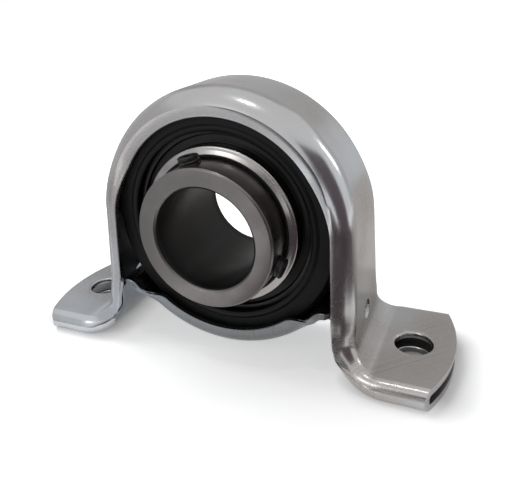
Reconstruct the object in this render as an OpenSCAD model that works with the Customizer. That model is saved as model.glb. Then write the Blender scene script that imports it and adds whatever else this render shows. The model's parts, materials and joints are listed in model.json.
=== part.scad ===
// Rubber-cushioned carrier bearing: a ball bearing insert held in a rubber ring
// between two pressed sheet-steel straps that meet in the bolted feet.
// The shaft runs along Y with the lettered face of the insert towards -Y.
// The origin lies on the underside of the feet, midway between the bolt holes.

/* [Bearing insert] */
// Diameter of the shaft bore
bore_d = 30; // [25:0.5:31]
// Outside diameter of the long inner ring
inner_ring_d = 41.2; // [39.6:0.2:42]
// Reach of the inner ring in front of the ball plane
inner_front = 22.2; // [21:0.2:28]
// Reach of the inner ring behind the ball plane
inner_rear = 15.9; // [14:0.1:20]
// Radial wall of the outer ring, from the ball circle to its spherical outside
race_wall = 8; // [7.5:0.1:9.5]
// Width of the outer ring
outer_ring_w = 19; // [17:0.5:19.5]
// Diameter of one ball
ball_d = 9.525; // [9:0.025:9.6]
// Radial distance from the inner ring's outside to the ball circle
race_step = 2.4; // [2.2:0.05:2.6]
// Number of balls
ball_count = 9; // [6:1:9]

/* [Seals] */
// Radial width of the rubber lip between the inner ring and the steel of a seal shell
lip_w = 0.95; // [0.85:0.05:1.3]
// Radial width of a seal shell's dished face, from its eye to its raised rim
shell_w = 2.4; // [2:0.05:2.8]
// Height of a seal shell's eye above the ball plane
shell_crown = 12.95; // [12.6:0.05:13.6]
// Thickness of the seal shell steel
shell_t = 0.65; // [0.5:0.05:0.8]

/* [Set screws] */
// Diameter of a set screw
screw_d = 6; // [5:0.5:6.5]
// Length of a set screw
screw_len = 7.8; // [7:0.1:9]
// Size across flats of the hexagon socket
socket_af = 3; // [2:0.5:3.5]
// Direction of the first set screw, from +X towards +Z
screw_angle = 102; // [0:1:180]
// Angle between the two set screws
screw_spread = 120; // [60:5:150]

/* [Rubber ring] */
// Rubber thickness over the outer ring
rubber_top_t = 6.6; // [6:0.1:8]
// Rubber thickness under the outer ring
rubber_bottom_t = 5; // [4.6:0.1:5.6]
// Width of the rubber ring over its lips
rubber_w = 24.4; // [23.6:0.1:25]
// How far the rubber lips reach in past the outer ring's sphere
lip_cover = 3.3; // [2.6:0.1:4]

/* [Pressed straps] */
// Thickness of the pressed sheet
sheet_t = 2; // [1.6:0.1:2.2]
// Height of the shaft axis above the mounting face
centre_h = 41.8; // [41.4:0.1:44]
// Width over the rolled edges of the arch
arch_w = 30.4; // [30:0.2:33]
// Outside radius of the rolled edges of the arch
arch_edge_r = 8; // [7:0.1:9]
// Depth of the turned-in edge of the arch
arch_flange = 7.7; // [7.4:0.1:8.2]
// Outward lean of the legs in degrees
leg_flare = 2.47; // [1:0.01:4]
// Width of the upper strap where a leg runs into its foot bend
leg_base_w = 34.6; // [34:0.2:38]
// Outside radius of the rolled edges of the legs
leg_edge_r = 3.4; // [3:0.1:4]
// Depth from a leg's outer face to the saddle's inner face
leg_box = 6.1; // [5.6:0.1:6.8]
// Width over the rolled edges of the saddle's belly
belly_w = 28.6; // [28:0.2:30]
// Depth of the belly's turned-up edge
belly_flange = 5.4; // [4.8:0.1:5.8]
// Width of the bare sheet over the saddle's two crests
crest_w = 32.2; // [30:0.2:33]
// Inside radius of the two crests
crest_r = 2.5; // [2:0.1:3]

/* [Feet] */
// Distance between the bolt hole centres
bolt_spacing = 110; // [107:0.5:125]
// Diameter of a bolt hole
bolt_hole_d = 11; // [8:0.5:12]
// Distance from a bolt hole centre to the end of its foot
foot_end = 11.7; // [11:0.1:16]
// Radius of the rounded foot end, seen from above
foot_end_r = 49.3; // [40:0.1:70]
// Width of a foot
foot_w = 44; // [40:0.5:50]
// Height of a foot
foot_h = 7; // [6.4:0.1:8]
// Height of the seam between the straps along the foot
seam_h = 4; // [3.6:0.1:4.2]
// Inside radius of the upper strap's foot bend
foot_bend_r = 7; // [6:0.1:7.5]
// Diameter of the drain hole in each leg
drain_d = 6; // [4:0.5:7]
// Height of the drain hole's centre
drain_h = 15.8; // [15:0.1:18]

/* [Hidden] */
$fn = 96;

// Fits and clearances
seat_gap = 0.1;
sphere_gap = 0.05;
screw_gap = 0.05;
ball_gap = 0.1;
lip_gap = 0.04;
seam_gap = 0.04;
cut = 1;

// Housing outline, derived from the insert and the rubber
ball_r = ball_d / 2;
ring_r = inner_ring_d / 2;
pitch_r = ring_r + race_step;
sphere_r = pitch_r + race_wall;
lip_eye_r = sphere_r - lip_cover;
arch_r = sphere_r + rubber_top_t + seat_gap + sheet_t;
belly_r = sphere_r + rubber_bottom_t + seat_gap + sheet_t;
flare_s = sin(leg_flare);
flare_c = cos(leg_flare);
foot_x1 = bolt_spacing / 2 + foot_end;

// Upper strap: the leg line leaves the arch at the flare angle and ends in the foot bend
leg_top = [arch_r * flare_c, centre_h + arch_r * flare_s];
bend_start_z = foot_h + foot_bend_r * (1 - flare_s);
leg_len = (leg_top[1] - bend_start_z) / flare_c;
bend_x = leg_top[0] + leg_len * flare_s + foot_bend_r * flare_c;
bend_z = foot_h + foot_bend_r;

// Lower strap: the crest circle touches the belly circle and the leg's inner face
leg_line = arch_r + centre_h * flare_s - leg_box;
crest_x = crest_centre_x();
crest_z = centre_h - sqrt(pow(belly_r + crest_r, 2) - pow(crest_x, 2));
crest_start = asin(crest_x / (belly_r + crest_r));
sole_bend_r = foot_bend_r + leg_box - 0.1;
sole_start = crest_z + crest_r * flare_s;
sole_leg_len = (sole_start - sole_bend_r * (1 - flare_s)) / flare_c;
sole_x = crest_x + crest_r * flare_c + sole_leg_len * flare_s + sole_bend_r * flare_c;

// Two rounds of substitution place the crest on the leaning leg face
function crest_drop(x) = centre_h - sqrt(pow(belly_r + crest_r, 2) - pow(x, 2));
function crest_guess(x) = (leg_line - crest_r - crest_drop(x) * flare_s) / flare_c;
function crest_centre_x() = crest_guess(crest_guess(crest_guess(arch_r - leg_box - crest_r)));

// Edge details of the straps
arc_steps = 5;
edge_step = 0.4;
arch_ridge = 4.5;
arch_step = 1.6;
arch_tip_in = 1.6;
foot_edge_r = 3;
belly_edge_r = 4;
saddle_edge_r = 3;
foot_lip = foot_h - seam_h - seam_gap;
nest = sheet_t + seat_gap;
leg_lip = leg_box - leg_edge_r;

function mix(a, b, w) = a + (b - a) * w;
function mix_all(a, b, w) = [for (i = [0 : len(a) - 1]) a[i] + (b[i] - a[i]) * w];
function smooth(w) = w * w * (3 - 2 * w);
function ramp(keys, s, i = 0) =
    s <= keys[i][0] ? keys[i][1] :
    i + 1 >= len(keys) ? keys[i][1] :
    s <= keys[i + 1][0]
        ? mix(keys[i][1], keys[i + 1][1], (s - keys[i][0]) / (keys[i + 1][0] - keys[i][0]))
        : ramp(keys, s, i + 1);

// Half of a channel section: [across, depth] from the web's outer face round the edge and back.
// hw: half width, r: edge radius, d: flange depth, ridge: depth where the edge roll ends,
// tip_in: how far the flange tip stands back from the widest plane
function half_channel(hw, r, d, ridge, step, tip_in) =
    let (
        ri = r - sheet_t,
        roll = ridge < r ? acos((r - ridge) / r) : 90,
        v_roll = r - r * cos(roll),
        v_cap = d - 0.25,
        in_roll = sheet_t + ri - ri * cos(roll) < v_cap ? roll : acos((sheet_t + ri - v_cap) / ri),
        v_in = sheet_t + ri - ri * cos(in_roll),
        tip = hw - tip_in
    )
    concat(
        [for (i = [0 : arc_steps]) let (a = roll * i / arc_steps) [hw - r + r * sin(a), r - r * cos(a)]],
        [[tip, min(v_roll + step, d - 0.15)], [tip, d], [tip - sheet_t, d], [tip - sheet_t, (v_in + d) / 2]],
        [for (i = [arc_steps : -1 : 0]) let (a = in_roll * i / arc_steps)
            [hw - sheet_t - ri + ri * sin(a), sheet_t + ri - ri * cos(a)]]
    );

// Half of a bare strip with square edges, with as many points as half_channel
function half_strip(hw) =
    let (spread = 3)
    concat(
        [for (i = [0 : arc_steps]) [hw - spread * (1 - i / arc_steps), 0]],
        [[hw, sheet_t / 3], [hw, sheet_t * 2 / 3], [hw, sheet_t], [hw - spread / 12, sheet_t]],
        [for (i = [arc_steps : -1 : 0]) [hw - spread * (1.1 - i / arc_steps), sheet_t]]
    );

function whole(h) = concat(h, [for (i = [len(h) - 1 : -1 : 0]) [-h[i][0], h[i][1]]]);

// A station is [x, z, nx, nz, half section]: a point on the strap's outer line, the direction
// in which the flanges point, and the section there
function flip(s) = [-s[0], s[1], -s[2], s[3], s[4]];
function both_sides(right) =
    concat([for (i = [len(right) - 1 : -1 : 1]) flip(right[i])], right);

// A closed sheet lofted through its stations from the left foot to the right foot
module loft(stations) {
    rings = [for (s = stations) [for (p = whole(s[4])) [s[0] + p[1] * s[2], p[0], s[1] + p[1] * s[3]]]];
    n = len(rings[0]);
    m = len(rings);
    sides = [for (j = [0 : m - 2], i = [0 : n - 1])
        let (k = (i + 1) % n, a = j * n + i, b = j * n + k, c = (j + 1) * n + k, d = (j + 1) * n + i)
        each [[a, b, c], [a, c, d]]];
    first = [for (i = [n - 1 : -1 : 0]) i];
    last = [for (i = [0 : n - 1]) (m - 1) * n + i];
    polyhedron(points = [for (r = rings) each r], faces = concat([first], sides, [last]), convexity = 12);
}

// Sections of the upper strap
arch_section = half_channel(arch_w / 2, arch_edge_r, arch_flange, arch_ridge, arch_step, arch_tip_in);
function leg_section(w, d) = half_channel(w / 2, leg_edge_r, d, leg_edge_r, edge_step, 0);
function leg_width(s) = mix(arch_w, leg_base_w, s);
function bend_width(s) = mix(leg_base_w, foot_w, smooth(s));
function bend_edge(s) = mix(leg_edge_r, foot_edge_r, s);
bend_lip_keys = [[0, leg_box], [0.4, leg_box - 2.1], [0.75, foot_lip + 0.45], [1, foot_lip]];
function bend_section(s) =
    let (d = ramp(bend_lip_keys, s), r = bend_edge(s))
    half_channel(bend_width(s) / 2, r, d, min(r, d - edge_step), edge_step, 0);

arch_angles = concat([for (a = [90 : -6 : 24]) a], [18.5, 13.5, 9, 5.5, leg_flare]);
arch_fade = [[leg_flare, 1], [5, 0.85], [10, 0.45], [16, 0.15], [22.5, 0]];
upper_right = concat(
    [for (a = arch_angles)
        [arch_r * cos(a), centre_h + arch_r * sin(a), -cos(a), -sin(a),
            mix_all(arch_section, leg_section(arch_w, leg_box), ramp(arch_fade, a))]],
    [for (s = [0.15, 0.5, 1])
        [leg_top[0] + leg_len * s * flare_s, leg_top[1] - leg_len * s * flare_c, -flare_c, -flare_s,
            leg_section(leg_width(s), leg_box)]],
    [for (s = [0.15 : 0.1416 : 1])
        let (a = mix(leg_flare, 90, s))
        [bend_x - foot_bend_r * cos(a), bend_z - foot_bend_r * sin(a), -cos(a), -sin(a), bend_section(s)]],
    [[foot_x1 + cut, foot_h, 0, -1, bend_section(1)]]
);

// Sections of the lower strap
belly_section = half_channel(belly_w / 2, belly_edge_r, belly_flange, belly_edge_r, edge_step, 0);
function nested_width(z) =
    leg_width((leg_top[1] - z) / (leg_top[1] - bend_start_z)) - 2 * nest;
function sole_lip(s) = ramp([[0, leg_lip], [0.4, 2.4], [0.75, seam_h - 0.75], [1, seam_h]], s);
function sole_width(s) =
    bend_width(s) - 2 * nest * (1 - smooth(ramp([[0.4, 0], [0.78, 1]], s)));
function sole_section(s) =
    let (d = sole_lip(s))
    half_channel(sole_width(s) / 2, saddle_edge_r, d, min(saddle_edge_r, d - edge_step), edge_step, 0);

crest_half = half_strip(crest_w / 2);
crest_narrow = half_strip(nested_width(crest_z + crest_r) / 2 - seat_gap);
saddle_leg = half_channel(nested_width(sole_start) / 2, saddle_edge_r, leg_lip, leg_lip - edge_step, edge_step, 0);
belly_end = crest_start - 7;
lower_right = concat(
    [for (i = [0 : 6]) let (a = belly_end * i / 6)
        [belly_r * sin(a), centre_h - belly_r * cos(a), -sin(a), cos(a), belly_section]],
    [for (w = [0.5, 1]) let (a = mix(belly_end, crest_start, w))
        [belly_r * sin(a), centre_h - belly_r * cos(a), -sin(a), cos(a), mix_all(belly_section, crest_half, w)]],
    [for (i = [1 : 4]) let (a = mix(90 + crest_start, 84, i / 4))
        [crest_x + crest_r * cos(a), crest_z + crest_r * sin(a), cos(a), sin(a), crest_half]],
    [for (a = [62, 44, 24])
        [crest_x + crest_r * cos(a), crest_z + crest_r * sin(a), cos(a), sin(a), crest_narrow]],
    [[crest_x + crest_r * flare_c, sole_start, flare_c, flare_s, saddle_leg]],
    [for (s = [0 : 0.125 : 1])
        let (a = mix(leg_flare, 90, s))
        [sole_x - sole_bend_r * cos(a), sole_bend_r * (1 - sin(a)), cos(a), sin(a), sole_section(s)]],
    [[foot_x1 + cut, 0, 0, 1, sole_section(1)]]
);

// Everything beyond the rounded end of the right foot
module beyond_foot() {
    difference() {
        translate([bolt_spacing / 2, -foot_w, -cut])
            cube([foot_end + 3 * cut, 2 * foot_w, foot_h + 2 * cut]);
        translate([foot_x1 - foot_end_r, 0, -2 * cut]) cylinder(r = foot_end_r, h = foot_h + 4 * cut, $fn = 180);
    }
}

module on_both_sides() {
    children();
    mirror([1, 0, 0]) children();
}

module bolt_hole() {
    translate([bolt_spacing / 2, 0, -cut]) cylinder(d = bolt_hole_d, h = foot_h + 2 * cut);
}

module drain_hole() {
    translate([bend_x - foot_bend_r - leg_box, 0, drain_h])
        rotate([0, 90, 0]) cylinder(d = drain_d, h = leg_box + 2 * cut, $fn = 48);
}

module upper_strap() {
    color([0.70, 0.71, 0.72])
    difference() {
        loft(both_sides(upper_right));
        on_both_sides() {
            beyond_foot();
            bolt_hole();
            drain_hole();
        }
    }
}

module lower_strap() {
    color([0.62, 0.64, 0.66])
    difference() {
        loft(both_sides(lower_right));
        on_both_sides() {
            beyond_foot();
            bolt_hole();
        }
    }
}

// Pieces of the insert are drawn round Z, then laid along the shaft axis: +Z becomes the front
module on_shaft_axis() {
    translate([0, 0, centre_h]) rotate([90, 0, 0]) children();
}

// Profile of the rubber ring for one outside radius and one corner radius
module rubber_profile(outer_r, corner_r, corner_u) {
    half_w = rubber_w / 2;
    shoulder_w = arch_w / 2 - arch_tip_in - sheet_t - seat_gap;
    neck_r = arch_r - arch_flange - seat_gap;
    nose_r = 0.7;
    translate([neck_r - cut, -shoulder_w])
        square([outer_r - corner_r - neck_r + cut, 2 * shoulder_w]);
    translate([neck_r - cut, -corner_u]) square([outer_r - neck_r + cut, 2 * corner_u]);
    intersection() {
        translate([neck_r - cut, -shoulder_w]) square([outer_r, 2 * shoulder_w]);
        for (s = [-1, 1]) translate([outer_r - corner_r, s * corner_u]) circle(r = corner_r);
    }
    translate([lip_eye_r + nose_r, -half_w]) square([neck_r - lip_eye_r - 2 * nose_r, 2 * half_w]);
    translate([lip_eye_r, -half_w + nose_r]) square([neck_r - lip_eye_r, 2 * (half_w - nose_r)]);
    for (s = [-1, 1], r = [lip_eye_r + nose_r, neck_r - nose_r])
        translate([r, s * (half_w - nose_r)]) circle(r = nose_r, $fn = 48);
}

module rubber_ring() {
    lip_back = outer_ring_w / 2 + 1.1;
    arch_core = arch_edge_r - sheet_t - seat_gap;
    belly_core = belly_edge_r - sheet_t - seat_gap;
    color([0.09, 0.09, 0.09])
    on_shaft_axis()
    difference() {
        union() {
            rotate_extrude(angle = 180, $fn = 180)
                rubber_profile(arch_r - sheet_t - seat_gap, arch_core, arch_w / 2 - arch_edge_r);
            rotate([0, 0, 180]) rotate_extrude(angle = 180, $fn = 180)
                rubber_profile(belly_r - sheet_t - seat_gap, belly_core, belly_w / 2 - belly_edge_r - 1);
        }
        intersection() {
            sphere(r = sphere_r + sphere_gap, $fn = 180);
            cube([4 * sphere_r, 4 * sphere_r, 2 * lip_back], center = true);
        }
    }
}

// Races and seats of the insert
groove_r = 0.52 * ball_d;
land_r = pitch_r + 0.55 * ball_r;
seat_r = land_r + 0.8;
seat_depth = 2.2;
cage_t = 0.9;
cage_gap = 0.8;
rivet_r = 0.6;
flange_z = outer_ring_w / 2 - seat_depth + 0.5;
shell_eye_r = ring_r + lip_w;
shell_rim_r = shell_eye_r + shell_w;

module outer_ring() {
    color([0.25, 0.25, 0.26])
    on_shaft_axis()
    difference() {
        sphere(r = sphere_r, $fn = 180);
        for (s = [-1, 1])
            translate([0, 0, s * (outer_ring_w / 2 + sphere_r)])
                cube([2 * sphere_r + cut, 2 * sphere_r + cut, 2 * sphere_r], center = true);
        cylinder(r = land_r, h = outer_ring_w + cut, center = true);
        for (s = [-1, 1])
            translate([0, 0, s * (outer_ring_w / 2)])
                cylinder(r = seat_r, h = 2 * seat_depth, center = true);
        rotate_extrude() translate([pitch_r, 0]) circle(r = groove_r, $fn = 64);
    }
}

module at_screw(i) {
    screw_z = (inner_front + shell_crown) / 2 + 0.2;
    translate([0, 0, screw_z]) rotate([0, 0, screw_angle - i * screw_spread]) rotate([0, 90, 0]) children();
}

module inner_ring() {
    chamfer = 0.75;
    bore_r = bore_d / 2;
    color([0.47, 0.46, 0.45])
    on_shaft_axis()
    difference() {
        rotate_extrude() polygon([
            [bore_r, chamfer - inner_rear], [bore_r + chamfer, -inner_rear],
            [ring_r - chamfer, -inner_rear], [ring_r, chamfer - inner_rear],
            [ring_r, inner_front - chamfer / 2], [ring_r - chamfer / 2, inner_front],
            [bore_r + chamfer, inner_front], [bore_r, inner_front - chamfer]
        ]);
        rotate_extrude() translate([pitch_r, 0]) circle(r = groove_r, $fn = 64);
        for (i = [0, 1]) at_screw(i) cylinder(d = screw_d + 2 * screw_gap, h = inner_ring_d, $fn = 48);
    }
}

module ball(i) {
    color([0.75, 0.76, 0.78])
    on_shaft_axis() rotate([0, 0, 360 / ball_count * i]) translate([pitch_r, 0, 0]) sphere(r = ball_r, $fn = 64);
}

// One half of the riveted ribbon cage, on the +Z side of the ball plane
module cage_half() {
    in_r = ring_r + cage_gap;
    out_r = land_r - cage_gap;
    pocket_r = ball_r + ball_gap;
    bow_r = pocket_r + cage_t;
    reach = 2 * ball_r + 2 * cut;
    difference() {
        union() {
            cylinder(r = out_r, h = cage_t);
            intersection() {
                cylinder(r = out_r, h = bow_r + cut);
                at_balls(0) rotate([0, 90, 0]) cylinder(r = bow_r, h = reach, $fn = 64);
            }
        }
        translate([0, 0, -cut]) cylinder(r = in_r, h = bow_r + 3 * cut);
        at_balls(0) rotate([0, 90, 0]) cylinder(r = pocket_r, h = reach, $fn = 64);
        at_balls(0.5) translate([ball_r + cut, 0, -cut]) cylinder(r = rivet_r, h = cage_t + 2 * cut, $fn = 32);
    }
}

// Radial directions through the balls, or between them when shifted by half a step
module at_balls(shift) {
    for (i = [0 : ball_count - 1])
        rotate([0, 0, 360 / ball_count * (i + shift)]) translate([pitch_r - ball_r - cut, 0, 0]) children();
}

module cage_front() {
    color([0.55, 0.53, 0.50]) on_shaft_axis() cage_half();
}

module cage_rear() {
    color([0.55, 0.53, 0.50]) on_shaft_axis() mirror([0, 0, 1]) cage_half();
}

module cage_rivets() {
    head_r = 1.1;
    head_h = 0.5;
    color([0.50, 0.48, 0.45])
    on_shaft_axis()
    for (i = [0 : ball_count - 1])
        rotate([0, 0, 360 / ball_count * (i + 0.5)]) translate([pitch_r, 0, 0])
            rotate_extrude($fn = 32) polygon([
                [0, -cage_t - head_h], [head_r, -cage_t - head_h], [head_r, -cage_t],
                [rivet_r, -cage_t], [rivet_r, cage_t], [head_r, cage_t],
                [head_r, cage_t + head_h], [0, cage_t + head_h]
            ]);
}

// Pressed seal shell: a flange crimped in the outer ring, a wall and a dished face
module seal_shell() {
    rim_r = shell_rim_r;
    eye_r = shell_eye_r;
    roll_r = 0.9;
    rim_z = shell_crown - 1.35;
    rotate_extrude($fn = 128) {
        polygon([
            [rim_r - shell_t, flange_z], [seat_r - sphere_gap, flange_z],
            [seat_r - sphere_gap, flange_z + shell_t], [rim_r, flange_z + shell_t],
            [rim_r, rim_z - roll_r / 2], [rim_r - roll_r, rim_z + roll_r / 2],
            [eye_r, shell_crown], [eye_r, shell_crown - shell_t],
            [rim_r - roll_r, rim_z + roll_r / 2 - shell_t], [rim_r - shell_t, rim_z - roll_r]
        ]);
        intersection() {
            translate([rim_r - roll_r, rim_z - roll_r / 2]) circle(r = roll_r, $fn = 48);
            translate([rim_r - roll_r, rim_z - roll_r / 2]) square(2 * roll_r);
        }
    }
}

// Rubber lip moulded to the shell's eye and wiping the inner ring
module seal_lip() {
    eye_r = shell_eye_r;
    wipe_r = ring_r + lip_gap;
    rotate_extrude($fn = 128) polygon([
        [eye_r, shell_crown - shell_t], [eye_r, shell_crown - 0.12],
        [eye_r - 0.3, shell_crown - 0.05], [wipe_r, shell_crown - 0.3],
        [wipe_r, shell_crown - 0.9], [wipe_r + 0.35, shell_crown - 1.5], [eye_r - 0.1, shell_crown - 1.4]
    ]);
}

module front_seal_shell() {
    color([0.72, 0.70, 0.69]) on_shaft_axis() seal_shell();
}

module rear_seal_shell() {
    color([0.72, 0.70, 0.69]) on_shaft_axis() mirror([0, 0, 1]) seal_shell();
}

module front_seal_lip() {
    color([0.07, 0.07, 0.07]) on_shaft_axis() seal_lip();
}

module rear_seal_lip() {
    color([0.07, 0.07, 0.07]) on_shaft_axis() mirror([0, 0, 1]) seal_lip();
}

// Hexagon-socket set screw standing out of the inner ring, its tip just clear of the shaft
module set_screw(i) {
    tip_clear = 0.25;
    point_h = 1.2;
    crown = 0.4;
    shank_r = screw_d / 2;
    socket_h = 3;
    color([0.10, 0.10, 0.10])
    on_shaft_axis() at_screw(i) translate([0, 0, bore_d / 2 + tip_clear])
    difference() {
        rotate_extrude($fn = 48) polygon([
            [0, 0], [shank_r - point_h, 0], [shank_r, point_h],
            [shank_r, screw_len - crown], [shank_r - crown, screw_len], [0, screw_len]
        ]);
        translate([0, 0, screw_len - socket_h]) cylinder(d = socket_af / cos(30), h = socket_h + cut, $fn = 6);
    }
}

upper_strap();
lower_strap();
rubber_ring();
outer_ring();
inner_ring();
for (i = [1 : ball_count]) ball(i - 1);
cage_front();
cage_rear();
cage_rivets();
front_seal_shell();
front_seal_lip();
rear_seal_shell();
rear_seal_lip();
set_screw(0);  // set_screw_1
set_screw(1);  // set_screw_2
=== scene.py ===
"""Looks of a rubber-cushioned carrier bearing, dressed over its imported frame.

Sizes are in millimetres until a mesh is made, and in metres from there on. The shaft runs
along Y with the long end of the inner ring towards -Y, Z points up and the feet stand on Z 0.
"""

from __future__ import annotations

import json
import logging
import math
from dataclasses import dataclass, field
from enum import Enum
from typing import Callable, NamedTuple, Sequence

import bmesh
import bpy
from mathutils import Euler, Matrix, Vector

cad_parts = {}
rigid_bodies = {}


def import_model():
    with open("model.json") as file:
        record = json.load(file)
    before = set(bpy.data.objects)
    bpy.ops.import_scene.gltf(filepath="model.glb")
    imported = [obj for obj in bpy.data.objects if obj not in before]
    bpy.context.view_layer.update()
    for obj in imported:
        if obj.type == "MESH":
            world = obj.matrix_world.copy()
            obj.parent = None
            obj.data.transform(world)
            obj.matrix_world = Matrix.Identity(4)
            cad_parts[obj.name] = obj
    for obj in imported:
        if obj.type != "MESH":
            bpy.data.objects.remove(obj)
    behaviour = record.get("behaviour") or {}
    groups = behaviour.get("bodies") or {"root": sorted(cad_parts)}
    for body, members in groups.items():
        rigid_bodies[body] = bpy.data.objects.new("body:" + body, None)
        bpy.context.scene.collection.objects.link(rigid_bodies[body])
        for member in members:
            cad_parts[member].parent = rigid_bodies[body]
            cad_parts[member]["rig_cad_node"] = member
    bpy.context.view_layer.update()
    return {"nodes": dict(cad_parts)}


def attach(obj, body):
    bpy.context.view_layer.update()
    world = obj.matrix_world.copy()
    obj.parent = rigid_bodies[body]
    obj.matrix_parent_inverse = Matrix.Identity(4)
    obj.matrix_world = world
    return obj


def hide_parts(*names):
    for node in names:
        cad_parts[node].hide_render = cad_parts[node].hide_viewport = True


LOG = logging.getLogger("carrier_bearing")
MM = 0.001
AXIS_HEIGHT = 41.8

Point = tuple[float, float]
Color = tuple[float, float, float, float]
Socket = bpy.types.NodeSocket


class Body(str, Enum):
    """Bodies of the frame that the meshes made here ride on."""

    HOUSING = "housing"
    INSERT = "insert"
    SHAFT_RING = "shaft_ring"
    SCREW_1 = "screw_1"
    SCREW_2 = "screw_2"


class Cap(Enum):
    """How the two ends of a swept mesh are closed."""

    OPEN = "open"
    FAN = "fan"
    LADDER = "ladder"


class Side(Enum):
    """Side of the ball plane, as the sign of the shaft coordinate that faces out of it."""

    FRONT = 1.0
    REAR = -1.0


# Shader graphs


class Graph:
    """Thin typed wrapper round one node tree."""

    def __init__(self, tree: bpy.types.NodeTree) -> None:
        """Start from an empty tree.

        Args:
            tree: Node tree to fill.
        """
        self.tree = tree
        tree.nodes.clear()

    def node(self, kind: str, **settings: object) -> bpy.types.Node:
        """Add a node.

        Args:
            kind: Blender's node class name.
            settings: Properties to set on the node.

        Returns:
            The new node.
        """
        made = self.tree.nodes.new(kind)
        for key, value in settings.items():
            setattr(made, key, value)
        return made

    def feed(self, socket: Socket, value: Socket | float | Sequence[float]) -> None:
        """Link a socket to another, or set its plain value.

        Args:
            socket: Input socket.
            value: Output socket, number or vector.
        """
        if isinstance(value, bpy.types.NodeSocket):
            self.tree.links.new(value, socket)
        else:
            socket.default_value = value

    def math(self, kind: str, a: Socket | float, b: Socket | float = 0.0) -> Socket:
        """Add a Math node.

        Args:
            kind: Operation name.
            a: First input.
            b: Second input.

        Returns:
            The result socket.
        """
        made = self.node("ShaderNodeMath", operation=kind)
        self.feed(made.inputs[0], a)
        self.feed(made.inputs[1], b)
        return made.outputs[0]

    def spread(
        self, value: Socket, low: float, high: float, out_low: float = 0.0, out_high: float = 1.0
    ) -> Socket:
        """Map a value range to another one, clamped.

        Args:
            value: Input socket.
            low: Input that gives out_low.
            high: Input that gives out_high.
            out_low: Lowest result.
            out_high: Highest result.

        Returns:
            The mapped socket.
        """
        made = self.node("ShaderNodeMapRange")
        self.feed(made.inputs["Value"], value)
        limits = {"From Min": low, "From Max": high, "To Min": out_low, "To Max": out_high}
        for name, number in limits.items():
            made.inputs[name].default_value = number
        return made.outputs["Result"]

    def mix(self, factor: Socket | float, a: Socket | Color, b: Socket | Color) -> Socket:
        """Blend two colours.

        Args:
            factor: Share of the second colour.
            a: First colour.
            b: Second colour.

        Returns:
            The blended colour.
        """
        made = self.node("ShaderNodeMix", data_type="RGBA")
        self.feed(made.inputs[0], factor)
        self.feed(made.inputs[6], a)
        self.feed(made.inputs[7], b)
        return made.outputs[2]

    def noise(self, vector: Socket, scale: float, detail: float = 3.0, roughness: float = 0.55) -> Socket:
        """Add a noise texture.

        Args:
            vector: Coordinates.
            scale: Cells per unit.
            detail: Octaves.
            roughness: Share of the fine octaves.

        Returns:
            The noise value.
        """
        made = self.node("ShaderNodeTexNoise")
        self.feed(made.inputs["Vector"], vector)
        made.inputs["Scale"].default_value = scale
        made.inputs["Detail"].default_value = detail
        made.inputs["Roughness"].default_value = roughness
        return made.outputs[0]

    def noise_along(self, distance: Socket, detail: float) -> Socket:
        """Add a noise that changes along one distance only.

        Args:
            distance: Distance in noise cells.
            detail: Octaves.

        Returns:
            The noise value.
        """
        made = self.node("ShaderNodeTexNoise", noise_dimensions="1D")
        self.feed(made.inputs["W"], distance)
        made.inputs["Scale"].default_value = 1.0
        made.inputs["Detail"].default_value = detail
        return made.outputs[0]

    def length(self, a: Socket, b: Socket) -> Socket:
        """Length of the diagonal over two sides that stand at a right angle.

        Args:
            a: First side.
            b: Second side.

        Returns:
            The length.
        """
        squares = [self.math("MULTIPLY", side, side) for side in (a, b)]
        return self.math("SQRT", self.math("ADD", *squares))

    def split(self, vector: Socket) -> bpy.types.NodeOutputs:
        """Take coordinates apart.

        Args:
            vector: Coordinates.

        Returns:
            X, Y and Z.
        """
        parts = self.node("ShaderNodeSeparateXYZ")
        self.feed(parts.inputs[0], vector)
        return parts.outputs

    def seen(self) -> Socket:
        """Mask of the rays that see the plain background, and not the light that falls on the object.

        Returns:
            1 for rays from the camera and for mirrored and refracted ones, 0 for the others.
        """
        path = self.node("ShaderNodeLightPath").outputs
        bounced = self.math("MAXIMUM", path["Is Glossy Ray"], path["Is Transmission Ray"])
        return self.math("MAXIMUM", path["Is Camera Ray"], bounced)

    def show(self, surface: Socket, kind: str = "ShaderNodeOutputMaterial") -> None:
        """Send a shader to a new output node.

        Args:
            surface: Shader socket.
            kind: Node class name of the output.
        """
        self.feed(self.node(kind).inputs["Surface"], surface)


def new_material(name: str) -> tuple[bpy.types.Material, Graph]:
    """Make a material with an empty node tree.

    Args:
        name: Name of the material.

    Returns:
        The material and its graph.
    """
    material = bpy.data.materials.new(name)
    material.use_nodes = True
    return material, Graph(material.node_tree)


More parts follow.
